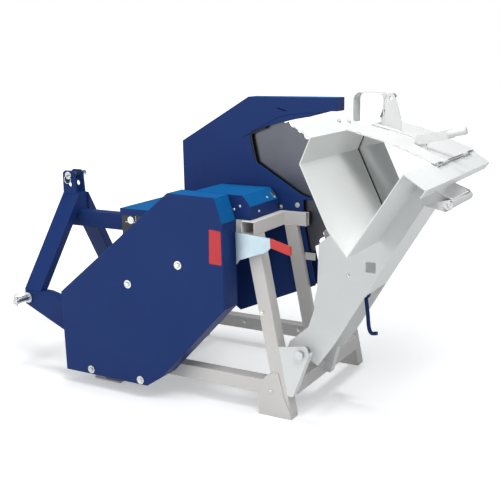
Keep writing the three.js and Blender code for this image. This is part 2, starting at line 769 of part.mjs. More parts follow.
function guardOutline(inset, low) {
  const left = guardLeft + inset;
  const top = guardTop - inset;
  const right = guardRight - inset;
  return outline([
    [left, low], [left, guardShoulder - inset / 2], [guardSlopeEnd + inset / 2, top], [right, top],
    [right, arborZ], [guardLowRight, arborZ], [guardLowRight, low],
  ]);
}
const hoodBottom = frameTop + gap;
const rimBack = guardBack - sheet - gap;
const hoodShell = cut(
  prismY(guardOutline(0, hoodBottom), guardFront, rimBack),
  prismY(guardOutline(sheet, -overrun), guardFront + sheet, rimBack + overrun),
  block(guardLowRight - sheet - overrun, guardLowRight + overrun, guardFront + sheet, rimBack + overrun,
    0, arborZ + overrun),
  sweptRoom(),
  rodAlongY(arborX, arborZ, arborDiameter / 2 + sheet, guardFront - overrun, guardFront + overrun));
add(group, 'guard_hood', hoodShell, 'blue');

function lowOutline(inset) {
  const low = guardLowBottom + inset;
  return [
    [guardLeft + inset, topRailBottom - gap - inset], [guardSideLeft + inset, low + guardLowRise],
    [guardLowLeft, low], [guardLowTip - inset, low + guardLowRise],
    [guardLowRight - inset, topRailBottom - gap],
  ];
}
const rearPlate = cut(
  prismY(guardOutline(0, topRailBottom - gap * 2), guardBack - sheet, guardBack), sweptRoom());
const lowOuter = outline(lowOutline(0));
const lowShell = cut(
  prismY(lowOuter, lowPlateFront, guardBack),
  prismY(outline([...lowOutline(sheet).slice(1, 4),
    [guardLowRight + overrun, frameTop], [guardLeft + sheet, frameTop]]),
    lowPlateFront + sheet, guardBack - sheet),
  block(guardLowTip - tubeSize, guardLowTip + overrun, lowPlateFront + sheet, guardBack - sheet, 0, frameTop));
add(group, 'guard_rear', join(rearPlate, lowShell), 'blue');

// Cradle pivot: a shaft through two folded brackets, the near one on a leg, the rear one on a rail
const bracketLow = baseRailBottom + footPlate;
const bracketHigh = pivotZ + bossRadius * 0.45;
const bracketToe = pivotDiameter; // width of a bracket's lower end
function pivotBracket(y, seat) {
  const toeX = seat[seat.length - 1][0] + bracketToe;
  const face = [
    ...seat, [toeX, bracketLow], [pivotX + bossRadius * 1.1, pivotZ],
    [pivotX + bossRadius * 0.8, pivotZ + bossRadius * 0.9], [pivotX + bossRadius * 0.35, pivotZ + bossRadius],
  ];
  const plate = prismY(outline(face), y, y + bracketThickness);
  const flange = prismY(
    foldedSheet([face[seat.length], face[seat.length + 1]], -bracketThickness), y, y + bracketFlange);
  const bore = rodAlongY(pivotX, pivotZ, pivotDiameter / 2 + runningGap, y - overrun, y + bracketFlange * 2);
  return cut(join(plate, flange), bore);
}
const legFace = (z) => [legCentre(1, z) + tubeSize / 2 + gap, z];
const nearSeat = [legFace(bracketHigh), legFace(bracketLow)];
const railFace = footWidth + gap;
const rearSeat = [
  [rightRailX + bracketToe, bracketHigh], [rightRailX + bracketToe, baseRailTop + gap],
  [railFace, baseRailTop + gap], [railFace, bracketLow],
];
add(group, 'near_pivot_bracket', pivotBracket(nearBracketY, nearSeat), 'cradleGrey');
add(group, 'rear_pivot_bracket', pivotBracket(rearBracketY, rearSeat), 'cradleGrey');
const shaftHead = pivotDiameter * 0.8;
add(group, 'pivot_shaft', join(
  rodAlongY(pivotX, pivotZ, pivotDiameter / 2, pivotFront, pivotBack),
  rodAlongY(pivotX, pivotZ, shaftHead, pivotFront, nearBracketY - gap, 6)), 'steel');

// Cradle, placed from its pivot
const cradle = new THREE.Group();
cradle.position.set(pivotX, 0, pivotZ);
group.add(cradle);

const slotFront = bladeY - slotWidth / 2;
const slotBack = bladeY + slotWidth / 2;
function trough() {
  const wide = prismY(foldedSheet(troughLine, troughSheet), troughFront, flangeBack);
  const plain = prismY(foldedSheet(troughLine.slice(1), troughSheet), flangeBack - overrun, troughBack);
  const slotEnd = along(veePoint, slotReach, rightWallAngle);
  const slot = outline([
    [leftFlangeEnd[0] - overrun, 0], [veeX, 0], along(slotEnd, veeX, flangeAngle), slotEnd,
    [slotEnd[0], leftFlangeEnd[1] + overrun], [leftFlangeEnd[0] - overrun, leftFlangeEnd[1] + overrun],
  ]);
  return cut(join(wide, plain), prismY(slot, slotFront, slotBack));
}
const troughMesh = trough();

// Everything above the trough's underside, kept clear of what carries it
const aboveTrough = outline([
  ...offsetLine(troughLine, troughSheet + gap),
  [rightFlangeEnd[0] + veeX, rightFlangeEnd[1]], [rightFlangeEnd[0] + veeX, 2 * rightFlangeEnd[1]],
  [-veeX, 2 * rightFlangeEnd[1]], [-veeX, leftFlangeEnd[1]],
]);
const armPoints = armShares.map(([u, v]) => [veeX * u, veeZ * v]);
function arm(y, withSpacer) {
  const plate = join(
    prismY(outline(armPoints), y, y + armThickness),
    rodAlongY(0, 0, bossRadius, y, y + armThickness));
  const bore = rodAlongY(0, 0, pivotDiameter / 2 + runningGap, y - overrun, y + armThickness + overrun);
  const hole = block(
    squareHoleX - squareHole / 2, squareHoleX + squareHole / 2, y - overrun, y + armThickness + overrun,
    squareHoleZ - squareHole / 2, squareHoleZ + squareHole / 2);
  const clear = prismY(aboveTrough, y - overrun, y + armThickness + overrun);
  const solid = cut(plate, bore, hole, clear);
  if (!withSpacer) return solid;
  return join(solid, rodAlongY(spacerX, spacerZ, spacerDiameter / 2, y + armThickness / 2, rearArmY - gap, 24));
}
add(cradle, 'trough', troughMesh, 'cradleGrey');
add(cradle, 'near_arm', arm(nearArmY, true), 'cradleGrey');
add(cradle, 'rear_arm', arm(rearArmY, false), 'cradleGrey');

// Sheet that closes the back of the arms behind the blade's slot
const [edgeLow, edgeHigh] = armEdgeShares.map(([u, v]) => [veeX * u, veeZ * v]);
const edgeSlope = (edgeHigh[0] - edgeLow[0]) / (edgeHigh[1] - edgeLow[1]);
const edgeAt = (z) => [edgeLow[0] + (z - edgeLow[1]) * edgeSlope, z];
const coverSkin = foldedSheet([edgeAt(backCoverLow), edgeAt(edgeHigh[1])], -backSheet);
add(cradle, 'back_cover', cut(
  prismY(coverSkin, nearArmY + armThickness + gap, rearArmY - gap),
  prismY(aboveTrough, nearArmY, rearArmY)), 'cradleGrey');

// Lifting handle on the operator's side: a tube between two ears on a backing plate
const handleBack = handleFront + handleSpan;
function handle() {
  const low = edgeAt(handleZ - handleTube * 0.2);
  const high = edgeAt(handleZ + handleTube * 1.6);
  const ear = outline([
    low, [handleX - handleTube * 0.4, handleZ - handleTube * 0.85],
    [handleX + handleTube * 0.3, handleZ - handleTube * 0.45], [handleX + handleTube * 0.5, handleZ],
    [handleX + handleTube * 0.2, handleZ + handleTube * 0.7], high,
  ]);
  const near = prismY(ear, handleFront, handleFront + handleThickness);
  const far = prismY(ear, handleBack - handleThickness, handleBack);
  const grip = rodAlongY(
    handleX, handleZ, handleTube / 2, handleFront - handleOverhang, handleBack + handleOverhang, 24);
  const backing = prismY(foldedSheet([low, high], handleThickness), handleFront, handleBack);
  const clear = prismY(aboveTrough, troughFront, troughBack);
  return cut(join(near, far, grip, backing).translate(gap * 1.5, 0, 0), clear);
}
add(cradle, 'cradle_handle', handle(), 'white');

// Locking rod, hung on the spacer between the arms
const rodGroup = new THREE.Group();
rodGroup.position.set(spacerX, rodY, spacerZ);
cradle.add(rodGroup);
function lockRod() {
  const half = rodDiameter / 2;
  const path = new THREE.CatmullRomCurve3([
    new THREE.Vector3(0, 0, -rodEye), new THREE.Vector3(half, 0, -rodDrop * 0.5),
    new THREE.Vector3(rodDiameter, 0, -rodDrop + half), new THREE.Vector3(rodDiameter * 1.6, 0, -rodDrop - half),
    new THREE.Vector3(rodDiameter + rodFoot, 0, -rodDrop - half * 0.6),
  ]);
  const section = new THREE.Shape();
  section.absarc(0, 0, half, 0, 2 * Math.PI);
  const bar = new THREE.ExtrudeGeometry(section, { steps: 22, curveSegments: 6, extrudePath: path });
  const eye = rodAlongY(0, 0, rodEye + half / 2, -half, half, 24);
  const bore = rodAlongY(0, 0, spacerDiameter / 2 + runningGap * 2, -rodEye * 2, rodEye * 2, 24);
  return cut(join(bar, eye), bore);
}
add(rodGroup, 'lock_rod', lockRod(), 'blue');

// Hold-down lid, hinged on the trough's flange
const lid = new THREE.Group();
lid.position.set(hingeCentre[0], 0, hingeCentre[1]);
cradle.add(lid);
const fromHinge = ([u, v]) => [u - hingeCentre[0], v - hingeCentre[1]];
const lidLine = [
  fromHinge([lidLeftX, lidLeftZ]), fromHinge([lidBendX, lidBendZ]),
  [-knuckleRadius * 0.9, 0],
];
const lidLength = troughBack - lidFront;
const pinFront = lidFront + lidLength * knuckleShares[0] - knuckleLength * 0.9;
const pinBack = lidFront + lidLength * knuckleShares[1] + knuckleLength * 1.9;
const lugLength = knuckleLength * 0.6;
const lugFronts = [pinFront, pinBack - lugLength];
function lidPanel() {
  const body = prismY(foldedSheet(lidLine, -lidSheet), lidFront, troughBack);
  const slot = block(
    lidLine[0][0] - overrun, lidLine[0][0] + lidSlotReach, slotFront, slotBack,
    lidLine[2][1] - overrun, lidLine[0][1] + overrun * 2);
  let panel = cut(body, slot);
  for (const share of knuckleShares) {
    const y = lidFront + lidLength * share;
    panel = join(panel, rodAlongY(0, 0, knuckleRadius, y, y + knuckleLength, 24));
  }
  const earX = lidLeverX - hingeCentre[0];
  const earZ = lidLeverZ - hingeCentre[1];
  const earHalf = lidLeverHeight * 0.5;
  const lidSlope = (lidLine[2][1] - lidLine[1][1]) / (lidLine[2][0] - lidLine[1][0]);
  const lidMiddle = (x) => lidLine[1][1] + (x - lidLine[1][0]) * lidSlope + lidSheet / 2;
  const earY = lidLeverY + lidLeverThickness + gap;
  const ear = prismY(outline([
    [earX - earHalf, earZ + earHalf], [earX + earHalf, earZ + earHalf],
    [earX + earHalf * 1.5, lidMiddle(earX + earHalf * 1.5)], [earX - earHalf * 1.5, lidMiddle(earX - earHalf * 1.5)],
  ]), earY, earY + lidLeverThickness);
  const earBore = rodAlongY(
    earX, earZ, hingePinRadius * 1.5 + runningGap, earY - overrun, earY + lidLeverThickness + overrun, 24);
  const pinBore = rodAlongY(0, 0, hingePinRadius + runningGap, lidFront - overrun, troughBack + overrun, 24);
  const lugRoom = lugFronts.map((y) => rodAlongY(
    0, 0, knuckleRadius * 1.2, y - gap * 2, y + lugLength + gap * 2, 24));
  return cut(join(panel, ear), pinBore, earBore, ...lugRoom);
}
add(lid, 'hold_down_lid', lidPanel(), 'white');
function hingePin() {
  const pin = rodAlongY(hingeCentre[0], hingeCentre[1], hingePinRadius, pinFront, pinBack, 24);
  const lugs = lugFronts.map((y) => cut(
    join(
      rodAlongY(hingeCentre[0], hingeCentre[1], knuckleRadius, y, y + lugLength, 24),
      prismY(outline([
        along(hingeCentre, knuckleRadius, flangeAngle), along(hingeCentre, knuckleRadius, flangeAngle + 180),
        along(along(hingeCentre, knuckleRadius * 2, flangeAngle - 90), knuckleRadius, flangeAngle + 180),
        along(along(hingeCentre, knuckleRadius * 2, flangeAngle - 90), knuckleRadius, flangeAngle),
      ]), y, y + lugLength)),
    prismY(outline([
      along(along(flangePoint, gap, flangeAngle + 90), -veeX, flangeAngle),
      along(along(flangePoint, gap, flangeAngle + 90), veeX, flangeAngle),
      along(along(flangePoint, -veeX, flangeAngle + 90), veeX, flangeAngle),
      along(along(flangePoint, -veeX, flangeAngle + 90), -veeX, flangeAngle),
    ]), y - overrun, y + lugLength + overrun)));
  return join(pin, ...lugs);
}
add(cradle, 'lid_hinge_pin', hingePin(), 'steel');

// Spring hood and claw bracket on the lid
const lidTopLine = offsetLine(lidLine, -lidSheet - gap);
function holdDown() {
  const base = lidTopLine[1][1] - overrun;
  const [left, top] = fromHinge([hoodX, hoodTop]);
  const arch = (inset, bottom) => {
    const shape = new THREE.Shape();
    const radius = hoodRound - inset;
    shape.moveTo(left + inset, bottom);
    shape.lineTo(left + hoodWidth - inset, bottom);
    shape.lineTo(left + hoodWidth - inset, top - hoodRound);
    shape.absarc(left + hoodWidth - hoodRound, top - hoodRound, radius, 0, Math.PI / 2);
    shape.absarc(left + hoodRound, top - hoodRound, radius, Math.PI / 2, Math.PI);
    shape.closePath();
    return shape;
  };
  const hood = cut(
    prismY(arch(0, base), hoodFront, hoodFront + hoodLength),
    prismY(arch(lidSheet, base - overrun), hoodFront - overrun, hoodFront + hoodLength + overrun));
  const clawLeft = fromHinge([clawX, 0])[0];
  const clawShape = outline(clawShares.map(([u, v]) => [clawLeft + clawWidth * u, base + clawHeight * v]));
  clawShape.holes.push(disc(clawLeft + clawWidth * 0.47, base + clawHeight * 0.88, clawHole / 2));
  const claw = prismY(clawShape, clawY, clawY + clawThickness);
  const below = outline([
    ...lidTopLine, [0, -veeX], [lidLine[0][0] - veeX, -veeX], [lidLine[0][0] - veeX, lidTopLine[0][1]],
  ]);
  return cut(join(hood, claw), prismY(below, 0, troughBack));
}
add(lid, 'hold_down_bracket', holdDown(), 'white');

// Lever on the lid, with its round grip
const lidLever = new THREE.Group();
lidLever.position.set(lidLeverX - hingeCentre[0], lidLeverY, lidLeverZ - hingeCentre[1]);
lid.add(lidLever);
function lidLeverSolid() {
  const half = lidLeverHeight / 2;
  const bar = join(
    rodAlongY(0, 0, half, 0, lidLeverThickness, 24),
    block(0, lidLeverLength, 0, lidLeverThickness, -half, half));
  const grip = rodAlongX(
    lidLeverThickness / 2, 0, lidGripDiameter / 2, lidLeverLength - half, lidLeverLength + lidGripLength, 24);
  const pin = rodAlongY(
    0, 0, hingePinRadius * 1.5, 0, 2 * lidLeverThickness + gap * 4, 24);
  return join(bar, grip, pin).rotateY(-radians(lidLeverRise));
}
add(lidLever, 'lid_lever', lidLeverSolid(), 'white');

// Belt tension lever beside the drive cover
const tension = new THREE.Group();
tension.position.set(tensionX, tensionY, tensionZ);
group.add(tension);
const tensionShape = outline(tensionShares.map(([u, v]) => [tensionLength * u, tensionHeight * v]));
const tensionHub = rodAlongY(0, 0, tensionHeight * 0.1, 0, legFront - gap - tensionY, 24);
add(tension, 'tension_lever', join(
  prismY(tensionShape, 0, tensionPlate), tensionHub), 'galvanised');
const gripTop = [tensionLength * 1.02 + gap, tensionHeight * 0.385];
const gripLow = [tensionLength * 1.02 + gap, gripTop[1] - tensionGripHeight];
const gripShape = outline([
  gripLow, along(gripLow, tensionGripLength, -tensionDroop),
  along(gripTop, tensionGripLength, -tensionDroop), gripTop,
]);
add(tension, 'tension_grip', prismY(
  gripShape, tensionPlate / 2 - tensionGripThickness / 2, tensionPlate / 2 + tensionGripThickness / 2), 'red');

// Hitch mast and its legs
const mastFront = mastY - mastGap / 2 - mastPlate;
const mastBackFace = mastY + mastGap / 2 + mastPlate;
function mastHead() {
  const cheek = (y) => prismY(outline([
    [mastX, mastBlockBottom], [mastX + mastWidth, mastBlockBottom],
    [mastX + mastWidth * 0.85, mastTop - mastPlate], [mastX + mastWidth * 0.7, mastTop],
    [mastX + mastWidth * 0.2, mastTop], [mastX + mastWidth * 0.05, mastTop - mastPlate],
  ]), y, y + mastPlate);
  const solid = join(
    cheek(mastFront), cheek(mastY + mastGap / 2),
    block(mastX, mastX + mastWidth, mastFront, mastBackFace, mastBlockBottom, mastBlockTop));
  const holes = [mastHoleHigh, mastHoleLow].map((z) => rodAlongY(
    mastHoleX, z, mastHoleRadius, mastFront - overrun, mastBackFace + overrun, 24));
  const strutRight = leftTopLeft - gap;
  const strut = join(
    block(mastX + mastWidth - overrun, strutRight, mastY - strutDepth / 2, mastY + strutDepth / 2,
      strutBottom, strutBottom + strutHeight),
    block(mastX + mastWidth * 0.3, mastX + mastWidth, mastY - strutDepth / 2, mastY + strutDepth / 2,
      strutBottom, mastBlockBottom + overrun),
    block(strutRight - mastPlate, strutRight, mastY - strutDepth, mastY + strutDepth, strutBottom, frameTop));
  return cut(join(solid, strut), ...holes);
}
add(group, 'mast_head', mastHead(), 'blue');

// A leg drawn in Y and Z for the near side; its foot is shifted along X by a shear
function mastLeg(side) {
  const y = (distance) => mastY - side * distance;
  const inner = mastY - mastFront + gap;
  const shape = outline([
    [y(inner), mastBlockTop], [y(inner), mastBlockBottom + mastPlate * 1.5],
    [y(mastLegFootIn), mastLegFootZ + gap], [y(mastLegFootOut), mastLegFootZ + gap],
  ]);
  const lean = mastLegShift / (mastBlockTop - mastLegFootZ);
  const shear = new THREE.Matrix4().set(1, 0, lean, -lean * mastBlockTop, 0, 1, 0, 0, 0, 0, 1, 0, 0, 0, 0, 1);
  return prismX(shape, mastX, mastX + mastLegWidth).applyMatrix4(shear);
}
function brace(side, right) {
  const outer = mastY - side * mastLegFootOut;
  const y0 = Math.min(outer, outer + side * braceDepth) + side * sheet;
  const run = right(baseRailTop) - braceLeft;
  const bottomRight = braceBottom - run * braceDropShare;
  const height = mastLegFootZ - bottomRight;
  const tops = braceTopShares.slice(0, 2).map(([u, v]) => [
    braceLeft + run * u, bottomRight + height * v]);
  const lastTop = bottomRight + height * braceTopShares[2][1];
  const shape = outline([
    [braceLeft, braceBottom], [right(bottomRight), bottomRight], [right(lastTop), lastTop],
    ...tops.reverse(), [braceLeft + mastLegWidth * 1.3, mastLegFootZ], [braceLeft, mastLegFootZ],
  ]);
  return { shape, y0 };
}
for (const [endName, side, right] of [
  ['near', 1, (z) => legCentre(-1, z) - tubeSize / 2 - gap], ['far', -1, () => leftRailX - gap],
]) {
  const { shape, y0 } = brace(side, right);
  add(group, `${endName}_mast_leg`, mastLeg(side), 'blue');
  add(group, `${endName}_brace`, prismY(shape, y0, y0 + braceDepth), 'blue');
  const face = side > 0 ? y0 : y0 + braceDepth;
  const tip = face - side * (lowerPinLength + gap);
  const start = face - side * gap;
  const collar = start - side * lowerCollarLength;
  const pinBody = join(
    rodAlongY(lowerPinX, lowerPinZ, lowerPinRadius, Math.min(start, tip), Math.max(start, tip)),
    rodAlongY(lowerPinX, lowerPinZ, lowerCollarRadius, Math.min(start, collar), Math.max(start, collar)));
  const linchHole = new THREE.CylinderGeometry(
    lowerPinRadius / 3, lowerPinRadius / 3, lowerPinRadius * 4, 16);
  linchHole.rotateX(Math.PI / 2).translate(lowerPinX, tip + side * lowerPinRadius, lowerPinZ);
  add(group, `${endName}_lower_pin`, cut(pinBody, linchHole), 'steel');
}
const linkPin = join(
  rodAlongY(0, 0, linkPinRadius, -gap, linkPinLength),
  rodAlongY(0, 0, linkPinRadius * 1.5, -linkPinHead - gap, -gap));
const linkPinMesh = add(group, 'top_link_pin', linkPin, 'steel');
linkPinMesh.position.set(mastHoleX, mastFront, mastHoleHigh);

// The machine stands on its feet, centred on the origin
const bounds = new THREE.Box3().setFromObject(group);
group.position.set(-(bounds.min.x + bounds.max.x) / 2, -(bounds.min.y + bounds.max.y) / 2, -bounds.min.z);
group.updateMatrixWorld(true);

export default group;
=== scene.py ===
import json
import math

import bmesh
import bpy
from mathutils import Matrix, Vector


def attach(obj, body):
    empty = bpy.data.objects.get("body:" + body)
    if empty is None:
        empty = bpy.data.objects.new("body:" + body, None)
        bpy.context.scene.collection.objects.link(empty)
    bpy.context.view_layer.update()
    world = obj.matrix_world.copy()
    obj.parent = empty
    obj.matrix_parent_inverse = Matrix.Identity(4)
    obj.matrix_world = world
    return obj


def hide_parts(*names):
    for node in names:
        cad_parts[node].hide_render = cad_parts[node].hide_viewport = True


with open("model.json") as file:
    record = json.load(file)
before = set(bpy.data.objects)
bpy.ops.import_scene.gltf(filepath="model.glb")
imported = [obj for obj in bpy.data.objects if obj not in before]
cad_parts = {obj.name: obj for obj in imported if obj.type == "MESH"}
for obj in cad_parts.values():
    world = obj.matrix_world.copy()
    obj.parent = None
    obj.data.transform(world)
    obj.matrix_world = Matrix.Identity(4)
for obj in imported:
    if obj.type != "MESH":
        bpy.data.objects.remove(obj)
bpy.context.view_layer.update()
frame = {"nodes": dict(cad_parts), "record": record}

nodes = frame["nodes"]
shift = Vector((0.246525, -0.26315, 0.0))  # the near right foot's corner in the machine's own frame


def place(x, y, z):  # a point given in millimetres from the near right foot's corner
    return Vector((x, y, z)) / 1000.0 + shift


# camera at the photograph's viewing angle
cameraSetup = {
    "position": (1606.0, -2868.0, 1450.0),
    "azimuth": 29.7,
    "elevation": 12.97,
    "roll": -0.92,
    "focalPixels": 855.0,
    "imagePixels": 500.0,
    "sensor": 36.0,
}


def setCamera(values):
    data = bpy.data.cameras.new("viewCamera")
    data.sensor_width = values["sensor"]
    data.sensor_fit = "HORIZONTAL"
    data.lens = values["focalPixels"] / values["imagePixels"] * values["sensor"]
    camera = bpy.data.objects.new("viewCamera", data)
    bpy.context.scene.collection.objects.link(camera)
    turn = math.radians(values["azimuth"])
    tip = math.radians(values["elevation"])
    back = Vector((math.sin(turn) * math.cos(tip), -math.cos(turn) * math.cos(tip), math.sin(tip)))
    right = Vector((math.cos(turn), math.sin(turn), 0.0))
    up = back.cross(right)
    basis = Matrix((right, up, back)).transposed().to_4x4()
    lean = Matrix.Rotation(math.radians(values["roll"]), 4, "Z")
    camera.matrix_world = Matrix.Translation(place(*values["position"])) @ basis @ lean
    bpy.context.scene.camera = camera


setCamera(cameraSetup)

# floor, sky and lamps
studio = {
    "floorDiffuse": 0.86,
    "floorRoughness": 0.9,
    "floorSpecular": 0.1,
    "floorGlow": (0.34, 1.0),  # near the machine, far from it
    "glowReach": (1.3, 3.4),  # metres from the machine's middle
    "floorSize": 60.0,
    "skyTint": (0.9, 0.95, 1.0),
    "skyStrength": 0.3,
    "lampAim": (0.0, 0.0, 0.6),
}
lamps = {
    "keyLamp": {"power": 104.0, "size": 1.7, "place": (1.9, -1.7, 4.0)},
    "fillLamp": {"power": 56.0, "size": 3.0, "place": (-1.6, -3.6, 1.9)},
    "topLamp": {"power": 62.0, "size": 1.1, "place": (-0.3, 0.3, 4.4)},
}
white = (1.0, 1.0, 1.0, 1.0)


def glowForCamera(tree, values):  # the floor keeps its shadows near the machine and is white far off
    shader = tree.nodes["Principled BSDF"]
    shader.inputs["Base Color"].default_value = (*[values["floorDiffuse"]] * 3, 1.0)
    shader.inputs["Roughness"].default_value = values["floorRoughness"]
    shader.inputs["Specular IOR Level"].default_value = values["floorSpecular"]
    path = tree.nodes.new("ShaderNodeLightPath")
    seen = tree.nodes.new("ShaderNodeMath")
    seen.operation = "MAXIMUM"
    tree.links.new(path.outputs["Is Camera Ray"], seen.inputs[0])
    tree.links.new(path.outputs["Is Glossy Ray"], seen.inputs[1])
    coordinates = tree.nodes.new("ShaderNodeTexCoord")
    distance = tree.nodes.new("ShaderNodeVectorMath")
    distance.operation = "LENGTH"
    tree.links.new(coordinates.outputs["Object"], distance.inputs[0])
    spread = tree.nodes.new("ShaderNodeMapRange")
    spread.interpolation_type = "SMOOTHSTEP"
    reach, glow = values["glowReach"], values["floorGlow"]
    spread.inputs["From Min"].default_value, spread.inputs["From Max"].default_value = reach
    spread.inputs["To Min"].default_value, spread.inputs["To Max"].default_value = glow
    tree.links.new(distance.outputs["Value"], spread.inputs["Value"])
    strength = tree.nodes.new("ShaderNodeMath")
    strength.operation = "MULTIPLY"
    tree.links.new(seen.outputs[0], strength.inputs[0])
    tree.links.new(spread.outputs["Result"], strength.inputs[1])
    shader.inputs["Emission Color"].default_value = white
    tree.links.new(strength.outputs[0], shader.inputs["Emission Strength"])


def addFloor(values):
    bm = bmesh.new()
    bmesh.ops.create_grid(bm, x_segments=1, y_segments=1, size=values["floorSize"] / 2)
    mesh = bpy.data.meshes.new("studioFloor")
    bm.to_mesh(mesh)
    bm.free()
    floor = bpy.data.objects.new("studioFloor", mesh)
    bpy.context.scene.collection.objects.link(floor)
    material = bpy.data.materials.new("floorWhite")
    material.use_nodes = True
    glowForCamera(material.node_tree, values)
    mesh.materials.append(material)


def setSky(values):  # plain white for the camera, a soft cool light for the machine
    world = bpy.data.worlds.new("studioWorld")
    bpy.context.scene.world = world
    world.use_nodes = True
    tree = world.node_tree
    background = tree.nodes["Background"]
    background.inputs["Color"].default_value = (*values["skyTint"], 1.0)
    background.inputs["Strength"].default_value = values["skyStrength"]
    plain = tree.nodes.new("ShaderNodeBackground")
    plain.inputs["Color"].default_value = white
    plain.inputs["Strength"].default_value = 1.0
    path = tree.nodes.new("ShaderNodeLightPath")
    mix = tree.nodes.new("ShaderNodeMixShader")
    tree.links.new(path.outputs["Is Camera Ray"], mix.inputs[0])
    tree.links.new(background.outputs[0], mix.inputs[1])
    tree.links.new(plain.outputs[0], mix.inputs[2])
    tree.links.new(mix.outputs[0], tree.nodes["World Output"].inputs["Surface"])


def addLamp(name, values, aim):
    data = bpy.data.lights.new(name, "AREA")
    data.energy = values["power"]
    data.size = values["size"]
    lamp = bpy.data.objects.new(name, data)
    lamp.location = values["place"]
    lamp.rotation_euler = (Vector(aim) - Vector(values["place"])).to_track_quat("-Z", "Y").to_euler()
    bpy.context.scene.collection.objects.link(lamp)


setSky(studio)
addFloor(studio)
for name, values in lamps.items():
    addLamp(name, values, studio["lampAim"])
bpy.context.scene.view_settings.view_transform = "Standard"
print("camera and studio set")


# parts that the finishes share
def newMaterial(name):
    material = bpy.data.materials.new(name)
    material.use_nodes = True
    return material, material.node_tree, material.node_tree.nodes["Principled BSDF"]


def objectNoise(tree, scale, detail, roughness=0.55, stretch=(1.0, 1.0, 1.0)):
    coordinates = tree.nodes.new("ShaderNodeTexCoord")
    mapping = tree.nodes.new("ShaderNodeMapping")
    mapping.inputs["Scale"].default_value = stretch
    noise = tree.nodes.new("ShaderNodeTexNoise")
    noise.inputs["Scale"].default_value = scale
    noise.inputs["Detail"].default_value = detail
    noise.inputs["Roughness"].default_value = roughness
    tree.links.new(coordinates.outputs["Object"], mapping.inputs["Vector"])
    tree.links.new(mapping.outputs["Vector"], noise.inputs["Vector"])
    return noise.outputs["Fac"]


def ramp(tree, source, places, colours):  # two colours at two places along the source
    node = tree.nodes.new("ShaderNodeValToRGB")
    for element, spot, colour in zip(node.color_ramp.elements, places, colours):
        element.position = spot
        element.color = (*colour, 1.0)
    tree.links.new(source, node.inputs["Fac"])
    return node.outputs["Color"]


def remap(tree, source, low, high):
    node = tree.nodes.new("ShaderNodeMapRange")
    node.inputs["To Min"].default_value = low
    node.inputs["To Max"].default_value = high
    tree.links.new(source, node.inputs["Value"])
    return node.outputs["Result"]


def bumpOn(tree, shader, source, strength, distance):
    bump = tree.nodes.new("ShaderNodeBump")
    bump.inputs["Strength"].default_value = strength
    bump.inputs["Distance"].default_value = distance
    tree.links.new(source, bump.inputs["Height"])
    tree.links.new(bump.outputs["Normal"], shader.inputs["Normal"])


def coverWith(tree, factor, under, over):  # a plain colour laid over another where the factor is high
    node = tree.nodes.new("ShaderNodeMix")
    node.data_type = "RGBA"
    factorSocket, underSocket, overSocket = node.inputs[0], node.inputs[6], node.inputs[7]
    tree.links.new(factor, factorSocket)
    tree.links.new(under, underSocket)
    overSocket.default_value = (*over, 1.0)
    return node.outputs[2]


# powder paint: uneven tint, rubbed scuffs, fine speckle
paintGrain = {  # each noise by scale, detail, roughness and stretch
    "broad": (3.2, 5.0),
    "fine": (220.0, 3.0),
    "scuffs": (26.0, 3.0, 0.6, (1.0, 1.0, 6.0)),
    "tintPlaces": (0.3, 0.75),
    "scuffPlaces": (0.64, 0.72),
    "scuffShades": ((0.0, 0.0, 0.0), (0.45, 0.45, 0.45)),
    "scuffRoughness": (-0.06, 0.1),
    "rubGain": 1.25,
    "rubLift": 0.012,
    "rubLimit": 0.9,
    "speckleDepth": 0.0004,
}


def powderPaint(name, colour, dusty, roughness, specular, speckle=0.25):
    material, tree, shader = newMaterial(name)
    broad = objectNoise(tree, *paintGrain["broad"])
    fine = objectNoise(tree, *paintGrain["fine"])
    scuffs = objectNoise(tree, *paintGrain["scuffs"])
    tint = ramp(tree, broad, paintGrain["tintPlaces"], (colour, dusty))
    gain, lift, limit = paintGrain["rubGain"], paintGrain["rubLift"], paintGrain["rubLimit"]
    rubbed = tuple(min(part * gain + lift, limit) for part in colour)
    worn = ramp(tree, scuffs, paintGrain["scuffPlaces"], paintGrain["scuffShades"])
    tree.links.new(coverWith(tree, worn, tint, rubbed), shader.inputs["Base Color"])
    uneven = tree.nodes.new("ShaderNodeMath")
    uneven.operation = "ADD"
    tree.links.new(remap(tree, broad, *roughness), uneven.inputs[0])
    tree.links.new(remap(tree, scuffs, *paintGrain["scuffRoughness"]), uneven.inputs[1])
    tree.links.new(uneven.outputs[0], shader.inputs["Roughness"])
    shader.inputs["Specular IOR Level"].default_value = specular
    bumpOn(tree, shader, fine, speckle, paintGrain["speckleDepth"])
    return material


# bare and plated metal: fine streaks, a slow change of tint
metalGrain = {
    "streakDetail": 6.0,
    "streakRoughness": 0.6,
    "broad": (5.0, 3.0),
    "tintPlaces": (0.3, 0.7),
    "bump": (0.12, 0.0003),
}


def brushedMetal(name, colour, darker, roughness, scale=60.0):
    material, tree, shader = newMaterial(name)
    streaks = objectNoise(tree, scale, metalGrain["streakDetail"], metalGrain["streakRoughness"])
    broad = objectNoise(tree, *metalGrain["broad"])
    tint = ramp(tree, broad, metalGrain["tintPlaces"], (darker, colour))
    tree.links.new(tint, shader.inputs["Base Color"])
    tree.links.new(remap(tree, streaks, *roughness), shader.inputs["Roughness"])
    shader.inputs["Metallic"].default_value = 1.0
    bumpOn(tree, shader, streaks, *metalGrain["bump"])
    return material


# ground steel: fine rings about the blade's centre
ringGrain = {
    "scale": 90.0,
    "distortion": 1.2,
    "detail": 3.0,
    "stains": (2.2, 5.0),
    "stainPlaces": (0.35, 0.75),
    "bump": (0.1, 0.0002),
}


